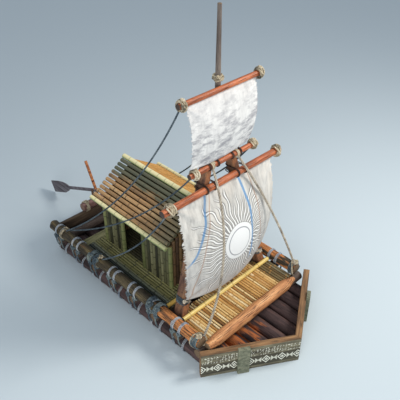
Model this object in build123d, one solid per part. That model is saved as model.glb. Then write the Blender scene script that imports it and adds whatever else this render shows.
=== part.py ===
from build123d import *
import os
from math import sin, cos, atan2, radians, sqrt, hypot

# Sailing raft of lashed logs: millimetres, +X to the bow, +Y to port, +Z up.
# The origin is under the middle of the overall length, on the plane the hull logs stand on.
# Stations are measured from the fore end of the deck, which is at DATUM_X, positive forward.

DATUM_X = 3585

# Hull
HULL_R = 200
HULL_GAP = 5
HULL_AFT = {0: -6130, 1: -6110, 2: -6090, 3: -6070, 4: -5900}
CROSS_R = 125
CROSS_END = 120
CROSS_STATIONS = [-5680, -4860, -4040, -3220, -2410, -1590, -770, -40]
GUNWALE_R = 150
GUNWALE_OUT = 130
GUNWALE_AFT = -6120
FRONT_BEAM_R = 150
FRONT_BEAM_STATION = 95
FRONT_BEAM_TO_STARBOARD = 1700
FRONT_BEAM_TO_PORT = 1450

# Bow and stern boards
BOW_APEX = 1460
BOW_END_STATION = 198
BOW_END_Y = 2010
BOARD_T = 155
BOARD_TOP = 772
CLEAT_W = 280
CLEAT_T = 90
CLEAT_TOP = 850
STERN_BOARD_STATION = -6020
STERN_BOARD_T = 100
STERN_BOARD_RISE = 150

# Deck
POLE_R = 37.5
POLE_PITCH = 77
POLE_COUNT = 41
DECK_AFT = -4770
DECK_BREAK = -1385
FORE_DECK_AFT = -925
FORE_DECK_INNER_AFT = -1165
FORE_DECK_INNER_Y = 1250
EDGE_PLANK_W = 260
EDGE_PLANK_T = 50
EDGE_POLE_R = 55

# Hut
HUT_FORE = -1915
HUT_AFT = -4568
HUT_Y = 1021
WALL_T = 104
RIDGE_Z = 2940
EAVE_Z = 2160
EAVE_Y = 1180
ROOF_FORE = -1820
ROOF_AFT = -4820
ROOF_POLE_R = 60
ROOF_POLE_PITCH = 128.6
MAT_T = 45
POST_R = 58
POST_Y = 975
DOOR_FORE = -3010
DOOR_AFT = -3740

# Mast, yards and sails
LEG_FOOT_STATION = -1085
LEG_FOOT_Y = 1440
LEG_FOOT_Z = 640
LEG_LEAN = 0.062
LEG_CLOSE = 0.2837
LEG_FOOT_SIZE = (290, 225)
LEG_TOP_SIZE = (240, 170)
LEG_TOP_Z = 5130
TOPMAST_R = 80
TOPMAST_TIP_R = 45
TOPMAST_HEEL_Z = 4650
TOPMAST_TOP_Z = 7760
MAIN_YARD_Z = 3970
MAIN_YARD_R = 85
MAIN_YARD_HALF = 1875
MAIN_COILS = (-1650, 1765)
LOW_YARD_Z = 4470
LOW_YARD_R = 65
LOW_YARD_HALF = 1050
LOW_COILS = (-890, 940)
TOP_YARD_Z = 6100
TOP_YARD_R = 65
TOP_YARD_HALF = 1220
TOP_COILS = (-1125, 1125)
CLOTH_T = 10
SAIL_HEAD = (-1500, 1600)
SAIL_FOOT = (-1450, 1120)
SAIL_FOOT_Z = 1300
SAIL_FOOT_STATION = -920
SAIL_FOOT_OUT = (0, 225, 0)
SAIL_FOOT_DROP = (0, 90, 0)
SAIL_BELLY = (100, 330, 260)
TOPSAIL_HEAD = (-1050, 1050)
TOPSAIL_FOOT = (-1050, 780)
TOPSAIL_FOOT_Z = 4650
TOPSAIL_FOOT_DROP = (0, 95, 0)
TOPSAIL_BELLY = (110, 200, 150)
ROPE_R = 22

# Steering gear
STEER_LOG_R = 130
STEER_LOG_HALF = 780
STEER_Y = -300
CRUTCH_STATION = -6050
LOOM_Z = 1333
LOOM_SLOPE = 23.4
LOOM_R = 50
NECK_S = 1555
TILLER_S = 105
TILLER_R = 42
TILLER_L = 930
LOOM_INBOARD = 235
BLADE_HALF = 200
BLADE_T = 30
PIN_R = 12
STEM_R = 35

os.makedirs("parts", exist_ok=True)


def sx(station):
    return DATUM_X + station


def rod(start, end, r0, r1=None):
    """Round pole between two points, tapered when the second radius differs."""
    a, b = Vector(*start), Vector(*end)
    plane = Plane(origin=a, z_dir=(b - a).normalized())
    if r1 is None or r1 == r0:
        return plane * extrude(Circle(r0), (b - a).length)
    return plane * Solid.make_cone(r0, r1, (b - a).length)


def block(x0, x1, y0, y1, z0, z1):
    return Pos((x0 + x1) / 2, (y0 + y1) / 2, (z0 + z1) / 2) * Box(x1 - x0, y1 - y0, z1 - z0)


def ring(centre, axis, inner, thick):
    """One turn of rope round a pole."""
    plane = Plane(origin=Vector(*centre), z_dir=Vector(*axis))
    return plane * Torus(inner + thick, thick)


def rope(start, middle, end, radius):
    """Rope through three points as one circular arc."""
    path = ThreePointArc(Vector(*start), Vector(*middle), Vector(*end))
    plane = Plane(origin=path @ 0, z_dir=path % 0)
    return sweep(plane * Circle(radius), path=path)


def save(name, *shapes):
    solids = []
    for shape in shapes:
        solids += shape.solids()
    for solid in solids:
        assert solid.is_valid, name
    export_step(solids[0] if len(solids) == 1 else Compound(children=solids), f"parts/{name}.step")


# Derived heights and spacings
HULL_PITCH = 2 * HULL_R + HULL_GAP
GUNWALE_Y = 4 * HULL_PITCH + GUNWALE_OUT
HULL_Z = HULL_R
CROSS_Z = 2 * HULL_R + CROSS_R
DECK_Z = CROSS_Z + CROSS_R
GUNWALE_Z = DECK_Z + GUNWALE_R
POLE_Z = DECK_Z + POLE_R
DECK_TOP = DECK_Z + 2 * POLE_R
STERN_BOARD_TOP = DECK_Z + STERN_BOARD_RISE
CROSS_HALF = GUNWALE_Y + CROSS_END

# Bow boards: two wide boards mitred on the centreline
run = hypot(BOW_APEX - BOW_END_STATION, BOW_END_Y)
nx, ny = BOW_END_Y / run, (BOW_APEX - BOW_END_STATION) / run
outer_apex = (sx(BOW_APEX), 0)
inner_apex = (sx(BOW_APEX) - BOARD_T / nx, 0)
outer_end = (sx(BOW_END_STATION), BOW_END_Y)
inner_end = (outer_end[0] - BOARD_T * nx, BOW_END_Y - BOARD_T * ny)
for name, side in (("bow_board_port", 1), ("bow_board_starboard", -1)):
    outline = [outer_apex, outer_end, inner_end, inner_apex]
    face = make_face(Polyline([(x, side * y) for x, y in outline], close=True))
    save(name, extrude(face, BOARD_TOP, dir=(0, 0, 1)))

# Cleats pinned to the outside of the bow boards
cleats = []
for side in (1, -1):
    mid = Vector(outer_apex[0] * 0.418 + outer_end[0] * 0.582, side * BOW_END_Y * 0.582, 0)
    along = Vector(outer_apex[0] - outer_end[0], -side * BOW_END_Y, 0).normalized()
    out = Vector(nx, side * ny, 0)
    points = [mid - along * CLEAT_W / 2, mid + along * CLEAT_W / 2]
    points += [points[1] + out * CLEAT_T, points[0] + out * CLEAT_T]
    cleats.append(extrude(make_face(Polyline(points, close=True)), CLEAT_TOP, dir=(0, 0, 1)))
save("bow_cleats", *cleats)

# Hull logs, cut to fit behind the bow boards
behind = make_face(Polyline([(-9000, -9000), (inner_apex[0] - 9000 * ny / nx, -9000), inner_apex,
                             (inner_apex[0] - 9000 * ny / nx, 9000), (-9000, 9000)], close=True))
behind = extrude(behind, 900, dir=(0, 0, 1))
logs = []
for i in range(-4, 5):
    y = i * HULL_PITCH
    log = rod((sx(HULL_AFT[abs(i)]), y, HULL_Z), (sx(BOW_APEX), y, HULL_Z), HULL_R)
    logs.append(log & behind)
save("hull_logs", *logs)

# Crossbeams over the hull logs
beams = []
for station in CROSS_STATIONS:
    beams.append(rod((sx(station), -CROSS_HALF, CROSS_Z), (sx(station), CROSS_HALF, CROSS_Z), CROSS_R))
save("crossbeams", *beams)

# Thick beam across the fore end of the deck, with tapered ends
lift = sqrt((CROSS_R + FRONT_BEAM_R) ** 2 - (FRONT_BEAM_STATION - CROSS_STATIONS[-1]) ** 2)
FRONT_BEAM_Z = CROSS_Z + lift
front_x = sx(FRONT_BEAM_STATION)
front_tapers = ((-1, FRONT_BEAM_TO_STARBOARD, 260, 95), (1, FRONT_BEAM_TO_PORT, 340, 60))
y_low, y_high = [side * (reach - taper) for side, reach, taper, _ in front_tapers]
front = rod((front_x, y_low, FRONT_BEAM_Z), (front_x, y_high, FRONT_BEAM_Z), FRONT_BEAM_R)
for side, reach, taper, tip_r in front_tapers:
    front += rod((front_x, side * (reach - taper), FRONT_BEAM_Z), (front_x, side * reach, FRONT_BEAM_Z),
                 FRONT_BEAM_R, tip_r)
save("front_beam", front)

# Gunwale logs on the crossbeam ends, from the stern to the front beam
GUNWALE_FORE = FRONT_BEAM_STATION - FRONT_BEAM_R
gunwales = []
for side in (1, -1):
    gunwales.append(rod((sx(GUNWALE_AFT), side * GUNWALE_Y, GUNWALE_Z),
                        (sx(GUNWALE_FORE), side * GUNWALE_Y, GUNWALE_Z), GUNWALE_R))
save("gunwale_logs", *gunwales)

# Stern board between the gunwales
save("stern_board", block(sx(STERN_BOARD_STATION) - STERN_BOARD_T / 2,
                          sx(STERN_BOARD_STATION) + STERN_BOARD_T / 2,
                          -(GUNWALE_Y - GUNWALE_R), GUNWALE_Y - GUNWALE_R, 2 * HULL_R, STERN_BOARD_TOP))


# Deck poles laid along the raft on the crossbeams
def deck(aft, inner_aft, fore):
    poles = []
    for i in range(POLE_COUNT):
        y = (i - (POLE_COUNT - 1) / 2) * POLE_PITCH
        start = inner_aft if abs(y) < FORE_DECK_INNER_Y else aft
        poles.append(rod((sx(start), y, POLE_Z), (sx(fore), y, POLE_Z), POLE_R))
    return poles


save("main_deck_poles", *deck(DECK_AFT, DECK_AFT, DECK_BREAK))
save("fore_deck_poles", *deck(FORE_DECK_AFT, FORE_DECK_INNER_AFT, GUNWALE_FORE))
between = GUNWALE_Y - GUNWALE_R
save("deck_edge_plank", block(sx(DECK_AFT) - EDGE_PLANK_W, sx(DECK_AFT), 20 - between, between - 20,
                              DECK_Z, DECK_Z + EDGE_PLANK_T))
edge_z = DECK_TOP + EDGE_POLE_R
edge_poles = []
for station in (FORE_DECK_AFT + EDGE_POLE_R + 10, DECK_BREAK - EDGE_POLE_R - 10):
    x = sx(station)
    edge_poles.append(rod((x, 50 - between, edge_z), (x, between - 50, edge_z), EDGE_POLE_R))
save("deck_edge_poles", *edge_poles)

# Hut walls: closed panels of upright bamboo with a doorway to starboard
pitch_angle = atan2(RIDGE_Z - EAVE_Z, EAVE_Y)
slope_n = Vector(0, sin(pitch_angle), cos(pitch_angle))
RAFTER_R = 40
under = (ROOF_POLE_R + 2 * RAFTER_R) / cos(pitch_angle) + 1


def roof_line(y):
    """Height of the roof's middle surface at a distance from the centreline."""
    return RIDGE_Z - abs(y) * (RIDGE_Z - EAVE_Z) / EAVE_Y


wall_top = roof_line(HUT_Y) - under
post_x = [sx(HUT_AFT), sx(DOOR_AFT) - POST_R, sx(DOOR_FORE) + POST_R, sx(HUT_FORE)]
bays = (("hut_wall_port", 1, post_x[0], post_x[3]),
        ("hut_wall_starboard_aft", -1, post_x[0], post_x[1]),
        ("hut_wall_starboard_fore", -1, post_x[2], post_x[3]))
for name, side, aft, fore in bays:
    y0, y1 = sorted((side * (HUT_Y - WALL_T), side * HUT_Y))
    save(name, block(aft + POST_R + 1, fore - POST_R - 1, y0, y1, DECK_TOP, wall_top))
inner = POST_Y - POST_R - 1
gable = [(-inner, DECK_TOP), (inner, DECK_TOP), (inner, roof_line(inner) - under),
         (0, RIDGE_Z - under), (-inner, roof_line(inner) - under)]
for name, x0 in (("hut_wall_fore", sx(HUT_FORE) - WALL_T / 2), ("hut_wall_aft", sx(HUT_AFT) - WALL_T / 2)):
    face = make_face(Polyline([(x0, y, z) for y, z in gable], close=True))
    save(name, extrude(face, WALL_T, dir=(1, 0, 0)))

# Corner and door posts, and a pole over the doorway
posts = []
post_top = roof_line(POST_Y + POST_R) - under
places = [(post_x[0], 1), (post_x[3], 1)] + [(x, -1) for x in post_x]
for x, side in places:
    posts.append(rod((x, side * POST_Y, DECK_TOP), (x, side * POST_Y, post_top), POST_R))
save("hut_posts", *posts)
lintel_z = post_top - 45
save("door_lintel", rod((post_x[1] + POST_R, -POST_Y, lintel_z), (post_x[2] - POST_R, -POST_Y, lintel_z), 42))

# Rafters on the walls, one pair at each end and two between
rafters = []
rafter_l = EAVE_Y / cos(pitch_angle) + 2 * RAFTER_R
for x in (sx(HUT_FORE) - 30, sx(-2800), sx(-3690), sx(HUT_AFT) + 30):
    for side in (1, -1):
        drop = Vector(0, side * slope_n.Y, slope_n.Z) * (ROOF_POLE_R + RAFTER_R)
        low = Vector(x, side * EAVE_Y, EAVE_Z) - drop
        high = low + Vector(0, -side * slope_n.Z, slope_n.Y) * rafter_l
        y0, y1 = sorted((side, side * EAVE_Y))
        own_side = block(x - 100, x + 100, y0, y1, EAVE_Z - 500, RIDGE_Z + 500)
        rafters.append(rod(low, high, RAFTER_R) & own_side)
save("rafters", *rafters)

# Roof: bamboo poles on the starboard slope, a woven mat on the port slope
poles = []
span = hypot(EAVE_Y, RIDGE_Z - EAVE_Z)
gaps = round(span / ROOF_POLE_PITCH)
for i in range(gaps - 1):
    t = (i + 1) / gaps
    y, z = -EAVE_Y * t, RIDGE_Z + (EAVE_Z - RIDGE_Z) * t
    poles.append(rod((sx(ROOF_AFT) + 30, y, z), (sx(ROOF_FORE) - 30, y, z), ROOF_POLE_R))
save("roof_poles_starboard", *poles)
ends = []
for y, z, r in ((0, RIDGE_Z - 1, 68), (-EAVE_Y, EAVE_Z, ROOF_POLE_R), (EAVE_Y, EAVE_Z, ROOF_POLE_R)):
    ends.append(rod((sx(ROOF_AFT), y, z), (sx(ROOF_FORE), y, z), r))
save("ridge_and_eave_poles", *ends)
u = Vector(0, EAVE_Y, EAVE_Z - RIDGE_Z).normalized()
n = Vector(0, slope_n.Y, slope_n.Z)
p0 = Vector(0, 0, RIDGE_Z) - n * ROOF_POLE_R + u * 72
p1 = Vector(0, 0, RIDGE_Z) - n * ROOF_POLE_R + u * (span - 66)
corners = [p0, p1, p1 + n * MAT_T, p0 + n * MAT_T]
mat = make_face(Polyline([(sx(ROOF_AFT) + 40, p.Y, p.Z) for p in corners], close=True))
save("roof_mat_port", extrude(mat, ROOF_FORE - ROOF_AFT - 80, dir=(1, 0, 0)))


# Mast: two legs leaning together over steps on the hull logs
def leg_axis(z, side):
    rise = z - LEG_FOOT_Z
    return (sx(LEG_FOOT_STATION) - LEG_LEAN * rise, side * (LEG_FOOT_Y - LEG_CLOSE * rise), z)


def leg_depth(z):
    """Half the fore-and-aft thickness of a leg at a height."""
    t = (z - LEG_FOOT_Z) / (LEG_TOP_Z - LEG_FOOT_Z)
    return (LEG_FOOT_SIZE[0] + (LEG_TOP_SIZE[0] - LEG_FOOT_SIZE[0]) * t) / 2


for name, side in (("mast_leg_port", 1), ("mast_leg_starboard", -1)):
    ends = []
    for z, (depth, width) in ((LEG_FOOT_Z, LEG_FOOT_SIZE), (LEG_TOP_Z, LEG_TOP_SIZE)):
        x, y, _ = leg_axis(z, side)
        ends.append(Pos(x, y, z) * Rectangle(depth, width))
    save(name, loft(ends))
steps = []
for side in (1, -1):
    y = side * LEG_FOOT_Y
    steps.append(block(sx(LEG_FOOT_STATION) - 140, sx(LEG_FOOT_STATION) + 140, y - 200, y + 200,
                       2 * HULL_R, LEG_FOOT_Z))
save("mast_steps", *steps)
TOPMAST_X = leg_axis(LEG_TOP_Z, 1)[0] - 5
TIP_Z = TOPMAST_TOP_Z - 200
topmast = rod((TOPMAST_X, 0, TOPMAST_HEEL_Z), (TOPMAST_X, 0, TIP_Z), TOPMAST_R, TOPMAST_TIP_R)
topmast += rod((TOPMAST_X, 0, TIP_Z), (TOPMAST_X, 0, TOPMAST_TOP_Z), TOPMAST_TIP_R)
save("topmast", topmast)

# Yards in front of the mast
MAIN_YARD_X = leg_axis(MAIN_YARD_Z, 1)[0] + leg_depth(MAIN_YARD_Z) + MAIN_YARD_R + 1
LOW_YARD_X = leg_axis(LOW_YARD_Z, 1)[0] + leg_depth(LOW_YARD_Z) + LOW_YARD_R + 1
taper = (TOP_YARD_Z - TOPMAST_HEEL_Z) / (TIP_Z - TOPMAST_HEEL_Z)
TOP_YARD_X = TOPMAST_X + TOPMAST_R + (TOPMAST_TIP_R - TOPMAST_R) * taper + TOP_YARD_R
yards = (("main_yard", MAIN_YARD_X, MAIN_YARD_Z, MAIN_YARD_R, MAIN_YARD_HALF, MAIN_COILS),
         ("topsail_yard_lower", LOW_YARD_X, LOW_YARD_Z, LOW_YARD_R, LOW_YARD_HALF, LOW_COILS),
         ("topsail_yard_upper", TOP_YARD_X, TOP_YARD_Z, TOP_YARD_R, TOP_YARD_HALF, TOP_COILS))
for name, x, z, r, half, _ in yards:
    save(name, rod((x, -half, z), (x, half, z), r))


# Sails: thin cloth bellied forward, as a loft between the two edges and the middle
def sail(head, foot, belly, head_y, foot_y, out=(0, 0, 0), drop=(0, 0, 0)):
    sections = []
    for k in range(3):
        top = Vector(head[0], head_y[0] + (head_y[1] - head_y[0]) * k / 2, head[1])
        low = Vector(foot[0] + out[k], foot_y[0] + (foot_y[1] - foot_y[0]) * k / 2, foot[1] - drop[k])
        mid = (top + low) / 2 + Vector(belly[k], 0, 0)
        back = Vector(-CLOTH_T, 0, 0)
        edges = [ThreePointArc(top, mid, low), Line(low, low + back),
                 ThreePointArc(low + back, mid + back, top + back), Line(top + back, top)]
        sections.append(make_face(edges))
    return loft(sections)


save("mainsail", sail((MAIN_YARD_X, MAIN_YARD_Z - MAIN_YARD_R - 0.3), (sx(SAIL_FOOT_STATION), SAIL_FOOT_Z),
                      SAIL_BELLY, SAIL_HEAD, SAIL_FOOT, SAIL_FOOT_OUT, SAIL_FOOT_DROP))
save("topsail", sail((TOP_YARD_X, TOP_YARD_Z - TOP_YARD_R - 0.3), (LOW_YARD_X + 10, TOPSAIL_FOOT_Z),
                     TOPSAIL_BELLY, TOPSAIL_HEAD, TOPSAIL_FOOT, (0, 0, 0), TOPSAIL_FOOT_DROP))

# Lashings: turns of rope round the gunwale logs, outer hull logs and yards
turn = 20
bands = []
for station in CROSS_STATIONS[:-1]:
    for side in (1, -1):
        for dx in (-115, 115):
            bands.append(ring((sx(station) + dx, side * GUNWALE_Y, GUNWALE_Z), (1, 0, 0), GUNWALE_R, turn))
save("gunwale_lashings", *bands)
arcs = []
for station in CROSS_STATIONS[:-1]:
    for side in (1, -1):
        for dx in (-155, 155):
            points = []
            for angle in (radians(84), radians(15), radians(-48)):
                reach = HULL_R + turn
                y = 4 * HULL_PITCH + reach * cos(angle)
                points.append((sx(station) + dx, side * y, HULL_Z + reach * sin(angle)))
            arcs.append(rope(*points, turn))
save("hull_lashings", *arcs)
collar = []
for k in range(3):
    z = TOP_YARD_Z + 150 + 41 * k
    r = TOPMAST_R + (TOPMAST_TIP_R - TOPMAST_R) * (z - TOPMAST_HEEL_Z) / (TIP_Z - TOPMAST_HEEL_Z)
    collar.append(ring((TOPMAST_X, 0, z), (0, 0, 1), r + 1, turn))
save("topmast_lashing", *collar)
coils = []
for name, x, z, r, half, coil_y in yards:
    for y in coil_y:
        for dy in (-41, 0, 41):
            coils.append(ring((x, y + dy, z), (0, 1, 0), r, turn))
save("yard_lashings", *coils)

# Stays: each starts on a coil or yard, sags, and ends on a gunwale log
stay_gap = 0.2


def stay(start, clear, middle, end):
    """Rope from a yard's axis to inside a gunwale log, cut back to both surfaces."""
    line = rope(start, middle, end, ROPE_R)
    x, y, z = start
    line -= rod((x, y - 300, z), (x, y + 300, z), clear + stay_gap)
    x, y, z = end
    gunwale_y = GUNWALE_Y if y > 0 else -GUNWALE_Y
    return line - rod((x - 500, gunwale_y, GUNWALE_Z), (x + 500, gunwale_y, GUNWALE_Z), GUNWALE_R + stay_gap)


foot_z = GUNWALE_Z + 90
aft_stays = (("stay_topsail_aft", yards[2], -5522, 50, 640),
             ("stay_lower_yard_aft", yards[1], -5522, -60, 480),
             ("stay_main_yard_aft", yards[0], -3870, 40, 340))
for name, yard, station, foot_out, sag in aft_stays:
    _, x, z, r, half, coil_y = yard
    foot_y = GUNWALE_Y + foot_out
    ropes = []
    for y in coil_y:
        side = 1 if y > 0 else -1
        mid = ((x + sx(station)) / 2, (y + side * foot_y) / 2, (z + foot_z) / 2 - sag)
        ropes.append(stay((x, y, z), r + 2 * turn, mid, (sx(station), side * foot_y, foot_z)))
    save(name, *ropes)
ropes = []
for side, forward, sideways in ((1, 60, 110), (-1, 340, 170)):
    start = (LOW_YARD_X, side * 380, LOW_YARD_Z)
    end = (sx(-60), side * (GUNWALE_Y - 40), foot_z)
    mid = ((start[0] + end[0]) / 2 + forward, (start[1] + end[1]) / 2 + sideways, (start[2] + end[2]) / 2)
    ropes.append(stay(start, LOW_YARD_R, mid, end))
save("stay_bow", *ropes)

# Steering gear: a log on the stern board carries a turning crutch for the oar
CX = sx(CRUTCH_STATION)
steer_z = STERN_BOARD_TOP + STEER_LOG_R
steer_log = rod((CX, -STEER_LOG_HALF, steer_z), (CX, STEER_LOG_HALF, steer_z), STEER_LOG_R)
flat_z = STERN_BOARD_TOP + 2 * STEER_LOG_R - 12
steer_log -= block(CX - 100, CX + 100, STEER_Y - 90, STEER_Y + 90, flat_z, flat_z + 100)
steer_log -= Pos(CX, STEER_Y, flat_z - 90) * Cylinder(STEM_R + 0.1, 180)
save("steering_log", steer_log)
stem = Pos(CX, STEER_Y, flat_z - 75) * Cylinder(STEM_R, 170)
crutch = stem + Pos(CX, STEER_Y, flat_z + 1 + 30) * Cylinder(75, 60)
for side in (1, -1):
    y = STEER_Y + side * (LOOM_R + 8 + 15)
    crutch += block(CX - 45, CX + 45, y - 15, y + 15, flat_z + 50, LOOM_Z + 45)
crutch -= Pos(CX, STEER_Y, LOOM_Z) * Rot(90, 0, 0) * Cylinder(PIN_R, 400)
save("oar_crutch", crutch)
save("oar_pin", Pos(CX, STEER_Y, LOOM_Z) * Rot(90, 0, 0) * Cylinder(PIN_R, 2 * (LOOM_R + 8 + 30) + 30))

# Oar, drawn along its own axis and turned into place
turned = Pos(CX, STEER_Y, LOOM_Z) * Rot(0, -LOOM_SLOPE, 0)
slope = radians(LOOM_SLOPE)
TIP_S = (DATUM_X + BOW_APEX + CX - BLADE_HALF * sin(slope)) / cos(slope)
loom = Rot(0, 90, 0) * extrude(Circle(LOOM_R), LOOM_INBOARD)
loom += Rot(0, -90, 0) * extrude(Circle(LOOM_R), NECK_S + 250)
outline = [(-NECK_S, 48), (-NECK_S - 130, 110), (-NECK_S - 380, 175), (-NECK_S - 700, BLADE_HALF),
           (-TIP_S, BLADE_HALF), (-TIP_S, -BLADE_HALF), (-NECK_S - 700, -BLADE_HALF),
           (-NECK_S - 380, -190), (-NECK_S - 130, -110), (-NECK_S, -48)]
blade = make_face(Polyline([(x, -BLADE_T / 2, z) for x, z in outline], close=True))
blade = extrude(blade, BLADE_T, dir=(0, 1, 0))
loom -= blade
loom -= Rot(90, 0, 0) * Cylinder(PIN_R + 0.1, 400)
save("oar_loom", turned * loom)
save("oar_blade", turned * blade)
tiller = Pos(TILLER_S, 0, TILLER_L / 2) * Cylinder(TILLER_R, TILLER_L)
tiller -= Rot(0, 90, 0) * Cylinder(LOOM_R, 2 * LOOM_INBOARD)
save("oar_tiller", turned * tiller)
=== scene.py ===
import bmesh
import bpy
import math
import random
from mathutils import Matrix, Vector


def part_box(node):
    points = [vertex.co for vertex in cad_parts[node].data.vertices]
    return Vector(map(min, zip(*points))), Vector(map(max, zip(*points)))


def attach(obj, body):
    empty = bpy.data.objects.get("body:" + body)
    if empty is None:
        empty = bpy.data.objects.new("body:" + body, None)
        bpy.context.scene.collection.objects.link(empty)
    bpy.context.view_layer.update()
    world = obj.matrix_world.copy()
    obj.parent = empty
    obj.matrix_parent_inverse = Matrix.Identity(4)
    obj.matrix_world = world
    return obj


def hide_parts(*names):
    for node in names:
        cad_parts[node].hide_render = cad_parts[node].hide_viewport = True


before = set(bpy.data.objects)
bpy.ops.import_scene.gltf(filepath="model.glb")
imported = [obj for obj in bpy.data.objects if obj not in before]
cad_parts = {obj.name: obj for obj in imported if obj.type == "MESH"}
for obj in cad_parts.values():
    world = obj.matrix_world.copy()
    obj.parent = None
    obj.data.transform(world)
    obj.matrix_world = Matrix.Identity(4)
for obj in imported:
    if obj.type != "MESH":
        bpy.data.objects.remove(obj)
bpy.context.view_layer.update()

# The view: high off the starboard bow, as the raft was photographed, under a wide soft sky and two large
# soft lamps, the stronger one over the port bow, on a pale plain floor laid just above the underside of
# the hull logs.
FLOOR_Z = 0.03
FLOOR_HALF = 60
scene = bpy.context.scene


def in_scene(name, data):
    """Puts a mesh, a lamp or a camera in the scene."""
    made = bpy.data.objects.new(name, data)
    scene.collection.objects.link(made)
    return made


camera = in_scene("view", bpy.data.cameras.new("view"))
camera.data.sensor_width = 36.0
camera.data.lens = 50.63
camera.data.clip_end = 200.0
camera.location = (9.508, -7.691, 10.941)
camera.rotation_euler = [math.radians(a) for a in (53.994, -0.107, 45.482)]
scene.camera = camera
scene.view_settings.view_transform = "Standard"
for name, place, target, size, power, colour in (
        ("over_port_bow", (9.0, 8.0, 14.0), (0.5, 0, 1.0), 5.0, 1840, (1.0, 0.96, 0.90)),
        ("from_starboard", (9.0, -10.0, 6.0), (1.5, 0, 2.5), 6.0, 680, (1.0, 0.98, 0.95))):
    lamp = in_scene(name, bpy.data.lights.new(name, "AREA"))
    lamp.data.shape = "DISK"
    lamp.data.size = size
    lamp.data.energy = power
    lamp.data.color = colour
    lamp.location = place
    lamp.rotation_euler = (Vector(target) - Vector(place)).to_track_quat("-Z", "Y").to_euler()


def hex_colour(text):
    """An sRGB hex colour as linear RGBA."""
    parts = [int(text[i:i + 2], 16) / 255 for i in (0, 2, 4)]
    return tuple(c / 12.92 if c <= 0.04045 else ((c + 0.055) / 1.055) ** 2.4 for c in parts) + (1.0,)


def add(tree, kind, *values, out=0, stops=(), **named):
    """Adds a node and gives back one of its outputs, or with out=None the node itself.

    kind is the node's type and the option that decides its sockets, or a Math node's operation alone.
    values go to the sockets in use, in order. A tuple that starts with a kind is a node to add first, and
    hex text is a colour. A capitalised name is a socket, any other a setting, and stops are a ramp's
    places and colours.
    """
    kind, _, option = ("Math " + kind if kind.isupper() else kind).partition(" ")
    family = next(f for f in ("ShaderNode", "GeometryNode", "FunctionNode", "Node", "")
                  if hasattr(bpy.types, f + kind))
    made = tree.nodes.new(family + kind)
    if option:
        options = ("operation", "data_type", "mode", "noise_dimensions")
        setattr(made, next(o for o in options if hasattr(made, o)), option)
    for name, value in named.items():
        if name[0].islower():
            setattr(made, name, value)
    filled = list(zip([s for s in made.inputs if s.enabled], values))
    filled += [(made.inputs[n.replace("_", " ")], value) for n, value in named.items() if n[0].isupper()]
    for socket, value in filled:
        if isinstance(value, tuple) and isinstance(value[0], str):
            value = add(tree, *value)
        if isinstance(value, bpy.types.NodeSocket):
            tree.links.new(value, socket)
        elif socket.type == "RGBA" and isinstance(value, str):
            socket.default_value = hex_colour(value)
        else:
            socket.default_value = value
    for _ in stops[2:]:
        made.color_ramp.elements.new(0.5)
    for number, (place, colour) in enumerate(stops):
        made.color_ramp.elements[number].position = place
        made.color_ramp.elements[number].color = hex_colour(colour)
    if out is None or not made.outputs:
        return made
    return made.outputs[out] if isinstance(out, str) else [s for s in made.outputs if s.enabled][out]


world = bpy.data.worlds.new("soft_sky")
world.use_nodes = True
tree = world.node_tree
tree.nodes.clear()
seen = add(tree, "LightPath", out="Is Camera Ray")
add(tree, "OutputWorld", ("MixShader", seen, ("Background", "DDE6F0", 0.62), ("Background", "98A7B3", 1.0)))
scene.world = world


def new_finish(name, roughness, specular=0.5):
    """A new material and its node tree."""
    made = bpy.data.materials.new(name)
    made.use_nodes = True
    shader = made.node_tree.nodes["Principled BSDF"]
    shader.inputs["Roughness"].default_value = roughness
    shader.inputs["Specular IOR Level"].default_value = specular
    return made, made.node_tree


calm, tree = new_finish("plain_pale_floor", 0.9)
tree.nodes["Principled BSDF"].inputs["Base Color"].default_value = hex_colour("C6D2D8")
floor = in_scene("floor", bpy.data.meshes.new("floor"))
corners = [(x * FLOOR_HALF, y * FLOOR_HALF, FLOOR_Z) for x, y in ((-1, -1), (1, -1), (1, 1), (-1, 1))]
floor.data.from_pydata(corners, [], [(0, 1, 2, 3)])
floor.data.materials.append(calm)

# Hull: nine barked softwood logs side by side, grey-brown with long drying cracks, their fore ends sawn
# to the V of the bow boards. Each is grown from its axis line by one node tree, which also makes every
# other round timber and pole of the raft.
DATUM = 3.585
HULL_R = 0.200
HULL_PITCH = 0.405
HULL_AFT = (-6.130, -6.110, -6.090, -6.070, -5.900)
BOW_APEX = 1.460
BOW_END_STATION = 0.198
BOW_END_Y = 2.010
BOARD_T = 0.155


def new_tree(name, **sizes):
    """A geometry node tree with an input of that name for each size; gives it and its inputs."""
    tree = bpy.data.node_groups.new(name, "GeometryNodeTree")
    kinds = {int: "Int", float: "Float", tuple: "Vector"}
    face = tree.interface
    face.new_socket("Lines", in_out="INPUT", socket_type="NodeSocketGeometry")
    for socket, value in sizes.items():
        face.new_socket(socket.replace("_", " "), in_out="INPUT",
                        socket_type="NodeSocket" + kinds[type(value)]).default_value = value
    face.new_socket("Finish", in_out="INPUT", socket_type="NodeSocketMaterial")
    face.new_socket("Made", in_out="OUTPUT", socket_type="NodeSocketGeometry")
    return tree, add(tree, "GroupInput", out=None).outputs


ROUND = {"Joint_Every": 6, "Joint_Swell": 0.0, "Lump_Height": 0.0, "Lump_Size": 0.3, "Seed": 1}
round_timbers, given = new_tree("round_timber", Sides=10, Segment=0.08, **ROUND)
tree = round_timbers
piece = add(tree, "InputNamedAttribute FLOAT", "piece")
thick = add(tree, "InputNamedAttribute FLOAT", "thick")
spaced = add(tree, "ResampleCurve LENGTH", ("MeshToCurve", given["Lines"]), Length=given["Segment"])
spline = add(tree, "SplineParameter", out=None).outputs
measured = add(tree, "StoreNamedAttribute FLOAT", spaced, True, "along", spline["Length"])
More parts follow.
